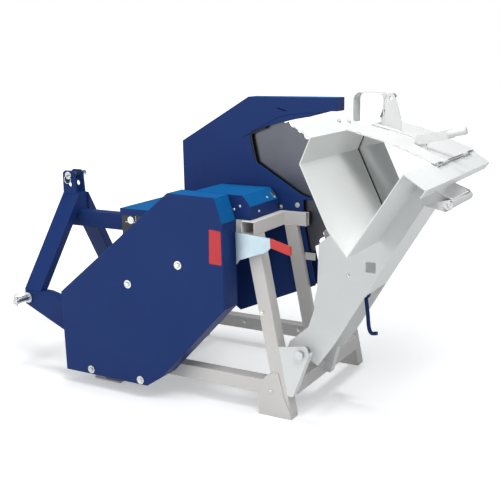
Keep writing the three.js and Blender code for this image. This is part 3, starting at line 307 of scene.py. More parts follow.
def groundDisc(name, centre, colour, darker, roughness):
    material, tree, shader = newMaterial(name)
    coordinates = tree.nodes.new("ShaderNodeTexCoord")
    mapping = tree.nodes.new("ShaderNodeMapping")
    mapping.inputs["Location"].default_value = -centre
    rings = tree.nodes.new("ShaderNodeTexWave")
    rings.wave_type = "RINGS"
    rings.rings_direction = "Y"
    rings.inputs["Scale"].default_value = ringGrain["scale"]
    rings.inputs["Distortion"].default_value = ringGrain["distortion"]
    rings.inputs["Detail"].default_value = ringGrain["detail"]
    tree.links.new(coordinates.outputs["Object"], mapping.inputs["Vector"])
    tree.links.new(mapping.outputs["Vector"], rings.inputs["Vector"])
    stains = objectNoise(tree, *ringGrain["stains"])
    tint = ramp(tree, stains, ringGrain["stainPlaces"], (darker, colour))
    tree.links.new(tint, shader.inputs["Base Color"])
    tree.links.new(remap(tree, rings.outputs["Fac"], *roughness), shader.inputs["Roughness"])
    shader.inputs["Metallic"].default_value = 1.0
    bumpOn(tree, shader, rings.outputs["Fac"], *ringGrain["bump"])
    return material


# cast iron: a coarse sand grain
castGrain = {
    "grain": (160.0, 5.0, 0.6),
    "broad": (9.0, 4.0),
    "tintPlaces": (0.3, 0.75),
    "roughness": (0.5, 0.72),
    "metallic": 0.35,
    "bump": (0.5, 0.0008),
}


def roughCasting(name, colour, darker):
    material, tree, shader = newMaterial(name)
    grain = objectNoise(tree, *castGrain["grain"])
    broad = objectNoise(tree, *castGrain["broad"])
    tint = ramp(tree, broad, castGrain["tintPlaces"], (darker, colour))
    tree.links.new(tint, shader.inputs["Base Color"])
    tree.links.new(remap(tree, broad, *castGrain["roughness"]), shader.inputs["Roughness"])
    shader.inputs["Metallic"].default_value = castGrain["metallic"]
    bumpOn(tree, shader, grain, *castGrain["bump"])
    return material


# plastic and rubber: a very fine grain
plasticGrain = {
    "grain": (300.0, 3.0),
    "broad": (8.0, 3.0),
    "tintPlaces": (0.3, 0.7),
    "bump": (0.2, 0.0004),
}


def mouldedPlastic(name, colour, darker, roughness):
    material, tree, shader = newMaterial(name)
    grain = objectNoise(tree, *plasticGrain["grain"])
    broad = objectNoise(tree, *plasticGrain["broad"])
    tint = ramp(tree, broad, plasticGrain["tintPlaces"], (darker, colour))
    tree.links.new(tint, shader.inputs["Base Color"])
    tree.links.new(remap(tree, broad, *roughness), shader.inputs["Roughness"])
    bumpOn(tree, shader, grain, *plasticGrain["bump"])
    return material


# the machine's finishes: paints by colour, dusty colour, roughness, specular and speckle
bladeCentre = (-153, 285, 858)
paints = {
    "bluePaint": ((0.009, 0.030, 0.135), (0.012, 0.036, 0.15), (0.4, 0.5), 0.12, 0.15),
    # a lighter blue for top faces: a painted highlight where the lamps fall on the same blue paint
    "bluePaintedHighlight": ((0.004, 0.10, 0.30), (0.006, 0.115, 0.33), (0.5, 0.6), 0.06, 0.15),
    "framePaint": ((0.64, 0.62, 0.595), (0.68, 0.66, 0.64), (0.4, 0.55), 0.4),
    "cradlePaint": ((0.75, 0.765, 0.75), (0.79, 0.80, 0.79), (0.35, 0.5), 0.35),
    "whitePaint": ((0.70, 0.705, 0.695), (0.75, 0.755, 0.75), (0.4, 0.55), 0.3),
}
metals = {  # colour, darker colour, roughness, scale of the streaks
    "brightSteel": ((0.62, 0.63, 0.64), (0.5, 0.51, 0.53), (0.22, 0.42)),
    "zincPlate": ((0.70, 0.72, 0.66), (0.55, 0.58, 0.54), (0.28, 0.42)),
    "darkSteel": ((0.2, 0.2, 0.21), (0.13, 0.13, 0.14), (0.35, 0.5)),
    "galvanised": ((0.55, 0.64, 0.68), (0.36, 0.47, 0.53), (0.35, 0.5), 30.0),
}
plastics = {  # colour, darker colour, roughness
    "beltRubber": ((0.022, 0.022, 0.022), (0.013, 0.013, 0.013), (0.7, 0.85)),
    "blackPlastic": ((0.022, 0.022, 0.024), (0.014, 0.014, 0.015), (0.45, 0.6)),
    "labelRed": ((0.52, 0.008, 0.016), (0.46, 0.006, 0.012), (0.28, 0.36)),
    "redPlastic": ((0.66, 0.03, 0.022), (0.56, 0.022, 0.016), (0.3, 0.45)),
}
bladeGround = {"colour": (0.11, 0.112, 0.13), "darker": (0.078, 0.08, 0.095), "roughness": (0.3, 0.45)}
gearboxIron = {"colour": (0.06, 0.065, 0.07), "darker": (0.035, 0.037, 0.04)}

finishes = {name: powderPaint(name, *values) for name, values in paints.items()}
finishes.update({name: brushedMetal(name, *values) for name, values in metals.items()})
finishes.update({name: mouldedPlastic(name, *values) for name, values in plastics.items()})
finishes["bladeSteel"] = groundDisc("bladeSteel", place(*bladeCentre), **bladeGround)
finishes["castIron"] = roughCasting("castIron", **gearboxIron)

slotFinish = {
    "frame_paint": "framePaint",
    "blue_paint": "bluePaint",
    "cradle_paint": "cradlePaint",
    "white_paint": "whitePaint",
    "bright_steel": "brightSteel",
    "blade_steel": "bladeSteel",
    "cast_iron": "castIron",
    "rubber": "beltRubber",
    "black_plastic": "blackPlastic",
    "galvanised": "galvanised",
    "red_plastic": "redPlastic",
}
slotOfNode = {entry["node"]: entry["material_slot"] for entry in frame["record"]["subparts"]}


def dress(name, finish):
    materials = nodes[name].data.materials
    if len(materials) == 0:
        materials.append(finishes[finish])
    for index in range(len(materials)):
        materials[index] = finishes[finish]


for name in nodes:
    dress(name, slotFinish[slotOfNode[name]])
print("finishes on", len(nodes), "nodes")


# pieces and their rounded edges
bodies = frame["record"]["behaviour"]["bodies"]
bodyOf = {name: body for body, members in bodies.items() for name in members}
edgeRules = {  # angles in degrees, lengths in metres
    "sharpAngle": 35.0,
    "steps": 2,
    "broadSteps": 3,
    "broadFrom": 0.0019,
    "copyMerge": 0.00001,
    "flatAngle": 0.6,
    "mostCorners": 6,
}
paintedHighlightTops = {  # least upward slope that takes the painted highlight, a lighter blue standing in for the light on top faces
    "deck_cover": 0.5, "arbor_housing": 0.3, "belt_cover": 0.3, "guard_hood": 0.6,
}


def linked(name, bm, finish, body):
    mesh = bpy.data.meshes.new(name)
    bm.to_mesh(mesh)
    bm.free()
    mesh.materials.append(finishes[finish])
    for polygon in mesh.polygons:
        polygon.use_smooth = True
    mesh.set_sharp_from_angle(angle=math.radians(edgeRules["sharpAngle"]))
    piece = bpy.data.objects.new(name, mesh)
    bpy.context.scene.collection.objects.link(piece)
    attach(piece, body)
    return piece


def roundEdges(piece, width, steps):
    rounder = piece.modifiers.new("roundedEdges", "BEVEL")
    rounder.width = width
    rounder.segments = steps
    rounder.limit_method = "ANGLE"
    rounder.angle_limit = math.radians(edgeRules["sharpAngle"])
    rounder.harden_normals = True


def splitLarge(bm, mostCorners=4, method="BEAUTY"):  # many-sided faces become triangles
    large = [face for face in bm.faces if len(face.verts) > mostCorners]
    bmesh.ops.triangulate(bm, faces=large, ngon_method=method)


def softened(name, width):  # a merged copy of a node with its edges rounded
    bm = bmesh.new()
    bm.from_mesh(nodes[name].data)
    bmesh.ops.remove_doubles(bm, verts=bm.verts, dist=edgeRules["copyMerge"])
    flat = math.radians(edgeRules["flatAngle"])
    bmesh.ops.dissolve_limit(bm, angle_limit=flat, verts=bm.verts, edges=bm.edges)
    splitLarge(bm, edgeRules["mostCorners"], "EAR_CLIP")
    slotName = slotOfNode[name]
    piece = linked(name + "Rounded", bm, slotFinish[slotName], bodyOf[name])
    steps = edgeRules["broadSteps"] if width > edgeRules["broadFrom"] else edgeRules["steps"]
    roundEdges(piece, width, steps)
    # faces that slope upwards get the lighter blue as a painted highlight
    if name in paintedHighlightTops:
        piece.data.materials.append(finishes["bluePaintedHighlight"])
        for polygon in piece.data.polygons:
            if polygon.normal.z > paintedHighlightTops[name]:
                polygon.material_index = 1
    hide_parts(name)
    return piece


edgeRounds = {  # radius of a rounded edge in metres
    "belt_cover": 0.0028, "belt_cover_back": 0.0008, "deck_cover": 0.0012, "arbor_housing": 0.0014,
    "arbor_bed": 0.0015, "guard_hood": 0.0012, "guard_rear": 0.001,
    "near_right_foot": 0.0015, "near_left_foot": 0.0015,
    "far_right_foot": 0.0015, "far_left_foot": 0.0015,
    "near_right_leg": 0.0022, "near_left_leg": 0.0022, "far_right_leg": 0.0022, "far_left_leg": 0.0022,
    "near_base_rail": 0.0022, "far_base_rail": 0.0022,
    "right_base_rail": 0.0022, "left_base_rail": 0.0022,
    "near_top_rail": 0.0022, "far_top_rail": 0.0022, "left_top_rail": 0.0022, "right_top_rail": 0.0022,
    "middle_top_rail": 0.0022, "inner_leg": 0.0018, "gearbox_bearer": 0.0022,
    "mast_head": 0.002, "near_mast_leg": 0.003, "far_mast_leg": 0.003,
    "near_brace": 0.003, "far_brace": 0.003,
    "trough": 0.0012, "near_arm": 0.0012, "rear_arm": 0.0012, "back_cover": 0.0008,
    "cradle_handle": 0.0012, "hold_down_lid": 0.0009, "hold_down_bracket": 0.001, "lid_lever": 0.0014,
    "tension_lever": 0.001, "tension_grip": 0.004, "gearbox": 0.004, "front_bearing": 0.003,
    "rear_bearing": 0.003, "pto_shield": 0.0012, "pivot_shaft": 0.0012, "clamp_flange": 0.0012,
    "near_lower_pin": 0.0012, "far_lower_pin": 0.0012, "top_link_pin": 0.0012,
}
pieces = {name: softened(name, width) for name, width in edgeRounds.items()}
print("edges rounded on", len(pieces), "pieces")


# shapes that many details share
toFront, toBack, toRight, upward = (0, -1, 0), (0, 1, 0), (1, 0, 0), (0, 0, 1)
zinc = "zincPlate"
seamMerge = 0.000005
slotSteps = 8
cornerReach = 1.5  # the edges through a slab are shorter than this many times its thickness


def standOn(spot, axis):  # +Z of a shape turned to an axis, its origin at a point
    return Matrix.Translation(spot) @ Vector(axis).to_track_quat("Z", "Y").to_matrix().to_4x4()


def facesOut(bm):
    bmesh.ops.remove_doubles(bm, verts=bm.verts, dist=seamMerge)
    bmesh.ops.recalc_face_normals(bm, faces=bm.faces)
    return bm


def newPiece(name, bm, finish, body, rounding=0.0):
    piece = linked(name, facesOut(bm), finish, body)
    if rounding > 0:
        roundEdges(piece, rounding, edgeRules["steps"])
    return piece


def addSlab(bm, outline, axis, thickness):  # a flat outline grown along an axis into a closed plate
    before = set(bm.edges)
    face = bm.faces.new([bm.verts.new(point) for point in outline])
    grown = bmesh.ops.extrude_face_region(bm, geom=[face])
    moved = [item for item in grown["geom"] if isinstance(item, bmesh.types.BMVert)]
    bmesh.ops.translate(bm, verts=moved, vec=Vector(axis).normalized() * thickness)
    rim = [edge for edge in bm.edges if edge not in before and edge.is_boundary]
    bmesh.ops.holes_fill(bm, edges=rim)


def roundCorners(bm, values):  # bevels the edges that run through a slab's thickness
    limit = values["thickness"] * cornerReach
    short = [edge for edge in bm.edges if edge.calc_length() < limit]
    bmesh.ops.bevel(bm, geom=short, offset=values["corner"], offset_type="OFFSET",
                    segments=values["cornerSteps"], profile=0.5, affect="EDGES", material=-1)


def stadium(centre, along, across, length, width):  # outline of a slot with round ends
    along, across = Vector(along).normalized(), Vector(across).normalized()
    reach, half = (length - width) / 2, width / 2
    points = []
    for side in (1, -1):
        for i in range(slotSteps + 1):
            turn = math.pi * i / slotSteps - math.pi / 2
            forward = along * side * (reach + half * math.cos(turn))
            points.append(centre + forward + across * side * half * math.sin(turn))
    return points


def addDrum(bm, radius, low, high, placed, sides=32, taper=1.0):
    made = bmesh.ops.create_cone(
        bm, cap_ends=True, segments=sides, radius1=radius, radius2=radius * taper, depth=high - low)
    lift = Matrix.Translation((0, 0, (low + high) / 2))
    bmesh.ops.transform(bm, matrix=placed @ lift, verts=made["verts"])


def addTurned(bm, profile, placed, steps):  # profile of (radius, height) pairs spun about +Z
    before = set(bm.verts)
    points = [bm.verts.new((radius, 0, height)) for radius, height in profile]
    lines = [bm.edges.new(pair) for pair in zip(points, points[1:])]
    bmesh.ops.spin(bm, geom=points + lines, cent=(0, 0, 0), axis=upward,
                   angle=2 * math.pi, steps=steps, use_merge=True, use_duplicate=False)
    made = [vert for vert in bm.verts if vert not in before]
    bmesh.ops.transform(bm, matrix=placed, verts=made)


def addRing(bm, centre, axis, radius, wire, steps=36, sides=10):  # a wire ring
    turns = [2 * math.pi * i / sides for i in range(sides + 1)]
    profile = [(radius + wire * math.cos(turn), wire * math.sin(turn)) for turn in turns]
    addTurned(bm, profile, standOn(centre, axis), steps)


def addBead(bm, points, radii, sides=8):  # a round section carried along a line and capped
    loops = []
    for index, point in enumerate(points):
        ahead = points[min(index + 1, len(points) - 1)] - points[max(index - 1, 0)]
        made = bmesh.ops.create_circle(
            bm, cap_ends=False, segments=sides, radius=radii[index], matrix=standOn(point, ahead))
        loops.append(list({edge for vert in made["verts"] for edge in vert.link_edges}))
    for first, second in zip(loops, loops[1:]):
        bmesh.ops.bridge_loops(bm, edges=first + second)
    bmesh.ops.holes_fill(bm, edges=loops[0] + loops[-1])


# weld beads: pitch in metres, ripples as shares of the bead's size
weldSize = 0.0032
weldBead = {
    "pitch": 0.0016, "fewest": 4, "sides": 7,
    "low": 0.86, "ripple": 0.14, "waver": 0.05, "waverTurn": 1.7, "end": 0.45,
}


def addWeld(bm, start, end, size=weldSize):  # a rippled bead between two points
    count = max(int((end - start).length / weldBead["pitch"]), weldBead["fewest"])
    points = [start.lerp(end, i / count) for i in range(count + 1)]
    low, ripple, waver = weldBead["low"], weldBead["ripple"], weldBead["waver"]
    turns = [i * weldBead["waverTurn"] for i in range(count + 1)]
    shares = [low + ripple * (i % 2) + waver * math.sin(turn) for i, turn in enumerate(turns)]
    shares[0] = shares[-1] = weldBead["end"]
    addBead(bm, points, [size * share for share in shares], weldBead["sides"])


def addLevelWeld(bm, span, y, z, size=weldSize):  # from left to right
    low, high = span
    addWeld(bm, place(low, y, z), place(high, y, z), size)


def addUprightWeld(bm, x, y, span, size=weldSize):
    low, high = span
    addWeld(bm, place(x, y, low), place(x, y, high), size)


# bolts: washer, six-sided head with a chamfered top
hexHead = {"sides": 6, "taper": 0.84, "rounding": 0.0003}


def addHexBolt(bm, spot, axis, size):
    placed = standOn(spot, axis)
    seat = size["washerThickness"]
    if size["washer"] > 0:
        addDrum(bm, size["washer"], 0, seat, placed)
    top = seat + size["head"]
    shoulder = top - size["chamfer"]
    addDrum(bm, size["across"] / 2, seat, shoulder, placed, hexHead["sides"])
    addDrum(bm, size["across"] / 2, shoulder, top, placed, hexHead["sides"], hexHead["taper"])


def boltPiece(name, spots, axis, size, body, finish=zinc):
    bm = bmesh.new()
    for spot in spots:
        addHexBolt(bm, place(*spot), axis, size)
    newPiece(name, bm, finish, body, hexHead["rounding"])


def circleSpots(axis, radius, y, count=4):  # places on a circle, the first half a step round
    turns = [math.radians((i + 0.5) * 360 / count) for i in range(count)]
    return [(axis[0] + radius * math.cos(turn), y, axis[1] + radius * math.sin(turn)) for turn in turns]


# cuts: made for good, after the piece's edges are rounded
cutting = {"sharpAngle": 50.0, "evenWeight": 100}


def cutBy(piece, cutter):
    mesh = bpy.data.meshes.new("cutterShape")
    facesOut(cutter).to_mesh(mesh)
    cutter.free()
    tool = bpy.data.objects.new("cutterShape", mesh)
    bpy.context.scene.collection.objects.link(tool)
    taken = piece.modifiers.new("taken", "BOOLEAN")
    taken.operation = "DIFFERENCE"
    taken.solver = "EXACT"
    taken.object = tool
    bpy.context.view_layer.update()
    seen = piece.evaluated_get(bpy.context.evaluated_depsgraph_get())
    result = bpy.data.meshes.new_from_object(seen)
    work = bmesh.new()
    work.from_mesh(result)
    splitLarge(work)
    work.to_mesh(result)
    work.free()
    result.set_sharp_from_angle(angle=math.radians(cutting["sharpAngle"]))
    piece.modifiers.clear()
    evened = piece.modifiers.new("evenShading", "WEIGHTED_NORMAL")
    evened.weight = cutting["evenWeight"]
    evened.keep_sharp = True
    piece.data = result
    bpy.data.objects.remove(tool)


# button heads: low domes with a six-sided socket
domeHead = {"rings": 6, "sunk": 0.2, "steps": 24, "socketFloor": 0.35, "socketSides": 6}


def addDome(bm, spot, axis, radius, height):  # sunk a little into its seat
    turns = [i * math.pi / 2 / domeHead["rings"] for i in range(domeHead["rings"])]
    arc = [(radius * math.cos(turn), height * math.sin(turn)) for turn in turns]
    foot = -height * domeHead["sunk"]
    profile = [(0, foot), (radius, foot)] + arc + [(0, height)]
    addTurned(bm, profile, standOn(spot, axis), domeHead["steps"])


def domePiece(name, spots, size, body):
    bm = bmesh.new()
    cutter = bmesh.new()
    for spot, axis in spots:
        addDome(bm, place(*spot), axis, size["radius"], size["height"])
        floor = place(*spot) + Vector(axis).normalized() * size["height"] * domeHead["socketFloor"]
        addDrum(cutter, size["socket"], 0, size["height"], standOn(floor, axis), domeHead["socketSides"])
    cutBy(newPiece(name, bm, zinc, body), cutter)


# belt cover: four bolts on broad washers
coverFront = -100.3
coverBolt = {
    "washer": 0.018, "washerThickness": 0.002, "across": 0.0215, "head": 0.007, "chamfer": 0.0016,
}
coverSpots = [(-310, 619), (-569, 509), (-795, 89), (-525, 87)]
boltPiece("coverBolts", [(x, coverFront, z) for x, z in coverSpots], toFront, coverBolt, "frame")

# belt cover: a bare label plate
label = {
    "outline": [(-159, 642), (-102, 640), (-103, 775), (-156, 781)],
    "thickness": 0.0008, "corner": 0.004, "cornerSteps": 5, "edge": 0.0002,
}
bm = bmesh.new()
addSlab(bm, [place(x, coverFront, z) for x, z in label["outline"]], toFront, label["thickness"])
roundCorners(bm, label)
newPiece("labelPlate", bm, "labelRed", "frame", label["edge"])
print("belt cover dressed")

# mount plate and its bolt in the gap between the deck's skirt and the cover; the plate's dark cast iron
# finish is painted shade under the deck's overhang
mount = {
    "outline": [(-665, 693), (-628, 693), (-520, 781), (-665, 781)],
    "seat": 6.1, "thickness": 0.0015, "edge": 0.0004, "bolt": (-618, 4.6, 761),
}
mountBolt = {
    "washer": 0.016, "washerThickness": 0.0012, "across": 0.019, "head": 0.0022, "chamfer": 0.0006,
}
bm = bmesh.new()
addSlab(bm, [place(x, mount["seat"], z) for x, z in mount["outline"]], toFront, mount["thickness"])
newPiece("mountPlatePaintedShade", bm, "castIron", "frame", mount["edge"])
boltPiece("mountBolt", [mount["bolt"]], toFront, mountBolt, "frame")

# arbor housing: button-head screws on its front, its side and its slope
housingScrew = {"radius": 0.0062, "height": 0.0036, "socket": 0.0027}
housingFront = 6.3
slopeNormal = (0.77, 0, 0.63)
housingSpots = [
    ((-104, housingFront, 847), toFront), ((-76.6, housingFront, 861.6), toFront),
    ((-68.7, housingFront, 800), toFront), ((-28, 76, 834.4), toRight),
    ((-39.4, 166.3, 875.3), slopeNormal), ((-34.8, 222.1, 869.6), slopeNormal),
]
domePiece("housingScrews", housingSpots, housingScrew, "frame")

# saw guard: foot bolts
guardFace = 262.0
guardBolt = {
    "washer": 0.011, "washerThickness": 0.0015, "across": 0.0145, "head": 0.0055, "chamfer": 0.0012,
}
guardSpots = [(-28.5, guardFace, 820.8), (50, guardFace, 834.5)]
boltPiece("guardBolts", guardSpots, toFront, guardBolt, "frame")

# saw guard: a slanted slot near the shoulder
guardSlot = {"from": (-41.6, 1229.5), "to": (-0.3, 1218.1), "width": 0.0045, "depth": 0.006, "lead": 2}
cutFrom = guardFace - guardSlot["lead"]
start, end = [place(x, cutFrom, z) for x, z in (guardSlot["from"], guardSlot["to"])]
outline = stadium((start + end) / 2, end - start, upward, (end - start).length, guardSlot["width"])
cutter = bmesh.new()
addSlab(cutter, outline, toBack, guardSlot["depth"])
cutBy(pieces["guard_hood"], cutter)

# saw guard: a crease pressed in the sheet, its radius changing along the arc
crease = {
    "centre": (188, 286), "radii": [930, 932, 935, 920, 908], "angles": (90.6, 115.4),
    "radius": 0.0019, "steps": 40,
}


def arcPoint(share, values, y):  # a point on the smooth line through the radii
    spans = len(values["radii"]) - 1
    index = min(int(share * spans), spans - 1)
    part = share * spans - index
    part = part * part * (3 - 2 * part)
    radius = values["radii"][index] * (1 - part) + values["radii"][index + 1] * part
    low, high = values["angles"]
    angle = math.radians(low + (high - low) * share)
    x, z = values["centre"]
    return place(x + radius * math.cos(angle), y, z + radius * math.sin(angle))


line = [arcPoint(i / crease["steps"], crease, guardFace) for i in range(crease["steps"] + 1)]
bm = bmesh.new()
addBead(bm, line, [crease["radius"]] * len(line))
newPiece("guardCrease", bm, "bluePaint", "frame")

# saw guard: a dark strip behind the left end of its opening, painted shade for the dark gap inside the
# guard there
edgeStrip = {
    "outer": [(-95, 1166), (-140, 1153), (-190, 1132), (-163, 1000), (-140, 985)],
    "inner": [(-132, 992), (-143, 1010), (-164, 1106), (-164, 1118), (-140, 1129), (-95, 1144)],
    "front": 265.4, "thickness": 0.003, "edge": 0.0006,
}
ring = [place(x, edgeStrip["front"], z) for x, z in edgeStrip["outer"] + edgeStrip["inner"]]
bm = bmesh.new()
addSlab(bm, ring, toBack, edgeStrip["thickness"])
splitLarge(bm)
newPiece("guardPaintedShadeStrip", bm, "beltRubber", "frame", edgeStrip["edge"])

# arbor housing: the small square plate on its slope
slopePlate = {
    "centre": (-43.1, 223, 879.8), "downSlope": (0.63, 0, -0.77), "half": 0.013,
    "thickness": 0.0016, "corner": 0.003, "cornerSteps": 4, "edge": 0.0003,
}
middle = place(*slopePlate["centre"])
down, side = Vector(slopePlate["downSlope"]) * slopePlate["half"], Vector(toBack) * slopePlate["half"]
square = [middle + down * a + side * b for a, b in ((-1, -1), (1, -1), (1, 1), (-1, 1))]
bm = bmesh.new()
addSlab(bm, square, slopeNormal, slopePlate["thickness"])
roundCorners(bm, slopePlate)
newPiece("housingPlate", bm, zinc, "frame", slopePlate["edge"])
print("covers and guard dressed")

# frame: a bolt through a foot's plate, bolts on a leg and on the far base rail
footBolt = {"washer": 0.0, "washerThickness": 0.0, "across": 0.015, "head": 0.0055, "chamfer": 0.0012}
footSpot = (56.9, 0, 109)
boltPiece("footBolt", [footSpot], toFront, footBolt, "frame")
frameBolt = {
    "washer": 0.012, "washerThickness": 0.0018, "across": 0.017, "head": 0.0065, "chamfer": 0.0014,
}
frameSpots = [(17.2, 6.3, 433.7), (-470.9, 706.3, 126.7), (-167.7, 706.3, 127.5)]
boltPiece("frameBolts", frameSpots, toFront, frameBolt, "frame")

# frame: weld beads, by the face (y), the span (x) and the height (z) that they lie on
legs = {"foot": 8.3, "top": 751.7, "wide": 59.8, "bottom": {"right": 87.1, "left": -866.9},
        "lean": {"right": -146.0, "left": 216.0}}
frameWeld = {
    "legFaces": (6.3, 66.3, 706.3), "legSides": (("right", 0.0), ("left", legs["wide"])),
    "railHeights": (93, 149),
    "sideFaces": (66.4, 706.2), "sideSpans": ((92, 148), (-838, -782)), "sideHeights": (91.2, 150.8),
    "topFaces": (6.3, 706.3), "topSpans": ((-57, -1), (-649, -593)), "topHeight": 751.8,
    "cornerLines": (-59.2, -591.0), "cornerHeights": (754, 805), "thinShare": 0.8,
    "thinCornerFace": 6.3, "cornerFaces": (66.4, 240),
    "bearerFaces": (6.3, 66.3, 706.3), "bearerSpan": (-702, -646), "bearerHeight": 151.1,
    "strapFace": 240, "strapSpan": (2, 40),
    "innerFaces": (240, 270), "innerSpan": (118, 148), "innerHeight": 151.4,
}
thinWeld = weldSize * frameWeld["thinShare"]


def legEdge(side, z):  # left edge of a leg at a height
    share = (z - legs["foot"]) / (legs["top"] - legs["foot"])
    return legs["bottom"][side] + legs["lean"][side] * share


bm = bmesh.new()
for y in frameWeld["legFaces"]:  # rails to the leaning legs
    for side, reach in frameWeld["legSides"]:
        lower, upper = [place(legEdge(side, z) + reach, y, z) for z in frameWeld["railHeights"]]
        addWeld(bm, lower, upper)
for y in frameWeld["sideFaces"]:  # side base rails to the legs and their feet
    for span in frameWeld["sideSpans"]:
        for z in frameWeld["sideHeights"]:
            addLevelWeld(bm, span, y, z)
for y in frameWeld["topFaces"]:  # leg tops to the top rails
    for span in frameWeld["topSpans"]:
        addLevelWeld(bm, span, y, frameWeld["topHeight"])
for x in frameWeld["cornerLines"]:  # top rails to each other
    addUprightWeld(bm, x, frameWeld["thinCornerFace"], frameWeld["cornerHeights"], thinWeld)
    for y in frameWeld["cornerFaces"]:
        addUprightWeld(bm, x, y, frameWeld["cornerHeights"])
for y in frameWeld["bearerFaces"]:  # bearer on the near and far base rails
    addLevelWeld(bm, frameWeld["bearerSpan"], y, frameWeld["bearerHeight"])
addLevelWeld(bm, frameWeld["strapSpan"], frameWeld["strapFace"], frameWeld["topHeight"], thinWeld)
for y in frameWeld["innerFaces"]:  # inner leg on the right base rail
    addLevelWeld(bm, frameWeld["innerSpan"], y, frameWeld["innerHeight"])
newPiece("frameWelds", bm, "framePaint", "frame")
print("frame dressed")

# cradle: a rivet in the near arm, bolts on the trough's flange, a screw on the handle
armRivet = {"radius": 0.0085, "height": 0.0042, "socket": 0.0028}
rivetSpot = (361.1, 68, 613)
domePiece("armRivet", [(rivetSpot, toFront)], armRivet, "cradle")
flangeBolt = {
    "washer": 0.0085, "washerThickness": 0.0012, "across": 0.0115, "head": 0.0045, "chamfer": 0.001,
}
flangeSpots = [(304.6, 101.2, 1195.3), (315.6, 170.3, 1188.5)]
flangeNormal = (0.52, 0, 0.85)
boltPiece("flangeBolts", flangeSpots, flangeNormal, flangeBolt, "cradle")
handleScrew = {"radius": 0.006, "height": 0.0034, "socket": 0.0026}
screwSpot = (765.5, -12, 930)
domePiece("handleScrew", [(screwSpot, toFront)], handleScrew, "cradle")

# cradle: rubber lips behind the left wall, on both sides of the blade's slot
slotLips = {
    "line": [(345.3, 1165.5), (306.0, 1075.3), (413.4, 850.3)], "gap": 0.3, "thickness": 2.2,
    "bands": [(266.0, 281.8), (288.2, 302.0)], "edge": 0.0004,
}
leastCosine = 0.3  # limits how far a sharp corner of a moved line runs out


def offsetOut(points, distance):  # the same bent line moved to its left side
    moved = []
    for index, (x, z) in enumerate(points):
        total = Vector((0, 0))
        for first, second in ((index - 1, index), (index, index + 1)):
            if first >= 0 and second < len(points):
                run = Vector(points[second]) - Vector(points[first])
                total += Vector((run.y, -run.x)).normalized()
        normal = total.normalized()
        first, second = (index - 1, index) if index > 0 else (index, index + 1)
        run = (Vector(points[second]) - Vector(points[first])).normalized()
        reach = distance / max(normal.dot(Vector((run.y, -run.x))), leastCosine)
        moved.append((x + normal.x * reach, z + normal.y * reach))
    return moved


near = offsetOut(slotLips["line"], slotLips["gap"])
far = offsetOut(slotLips["line"], slotLips["gap"] + slotLips["thickness"])
bm = bmesh.new()
for low, high in slotLips["bands"]:
    ring = [place(x, low, z) for x, z in near + far[::-1]]
    addSlab(bm, ring, toBack, (high - low) / 1000.0)
splitLarge(bm)
newPiece("slotLips", bm, "beltRubber", "cradle", slotLips["edge"])

# lid: slots through its sheet near the front edge, three on each slope
lidSlot = {"length": 0.023, "width": 0.009, "depth": 0.012, "y": 62}
lidRows = [
    ((0.25, 0, 0.97), [(400, 1158), (440, 1148), (480, 1137)]),
    ((0.36, 0, 0.93), [(548, 1114), (588, 1099), (628, 1084)]),
]
cutter = bmesh.new()
for facing, spots in lidRows:
    normal = Vector(facing).normalized()
    along = Vector(toBack).cross(normal)
    for x, z in spots:
        centre = place(x, lidSlot["y"], z) - normal * lidSlot["depth"] / 2
        outline = stadium(centre, along, toBack, lidSlot["length"], lidSlot["width"])
        addSlab(cutter, outline, normal, lidSlot["depth"])
cutBy(pieces["hold_down_lid"], cutter)

# lid: the claw's hook of bent wire
clawHook = {
    "line": [(411, 1273), (411, 1280), (415, 1286), (422, 1288.5), (430, 1286), (434, 1280),
             (433, 1273)],
    "y": 355.0, "radius": 0.0028, "sides": 10,
}
line = [place(x, clawHook["y"], z) for x, z in clawHook["line"]]
bm = bmesh.new()
addBead(bm, line, [clawHook["radius"]] * len(line), clawHook["sides"])
newPiece("clawHook", bm, "darkSteel", "lid")

# lid: the dark latch spring on the claw's bracket
latchSpring = {
    "from": (373, 1195), "to": (389, 1226), "y": 351.6, "width": 0.0075, "thickness": 0.0025,
    "edge": 0.0003,
}
start, end = [place(x, latchSpring["y"], z) for x, z in (latchSpring["from"], latchSpring["to"])]
across = Vector(toBack).cross(end - start)
outline = stadium((start + end) / 2, end - start, across, (end - start).length, latchSpring["width"])
bm = bmesh.new()
addSlab(bm, outline, toFront, latchSpring["thickness"])
newPiece("latchSpring", bm, "darkSteel", "lid", latchSpring["edge"])
print("cradle and lid dressed")

# hitch: linch pins with their rings, through the lower pins
linchPin = {
    "reach": 0.022, "pin": 0.004, "tipShare": 0.6, "tip": 0.003, "neck": 0.013, "shoulder": 0.014,
    "head": 0.006, "rim": 0.02, "top": 0.021, "steps": 20,
    "ring": 0.018, "wire": 0.0021, "ringRise": 0.017, "ringAxis": (0.25, 1, 0.1),
}
linchSpots = {"nearLinchPin": (-1249, -70, 336), "farLinchPin": (-1249, 710, 336)}


def addLinchPin(bm, centre, size):
    foot, pin, head = -size["reach"], size["pin"], size["head"]
    profile = [
        (0, foot), (pin * size["tipShare"], foot), (pin, foot + size["tip"]), (pin, size["neck"]),
        (head, size["shoulder"]), (head, size["rim"]), (0, size["top"]),
    ]
    addTurned(bm, profile, standOn(centre, upward), size["steps"])
    ringCentre = centre + Vector(upward) * size["ringRise"]
    addRing(bm, ringCentre, size["ringAxis"], size["ring"], size["wire"])


for name, spot in linchSpots.items():
    bm = bmesh.new()
    addLinchPin(bm, place(*spot), linchPin)
    newPiece(name, bm, zinc, "frame")

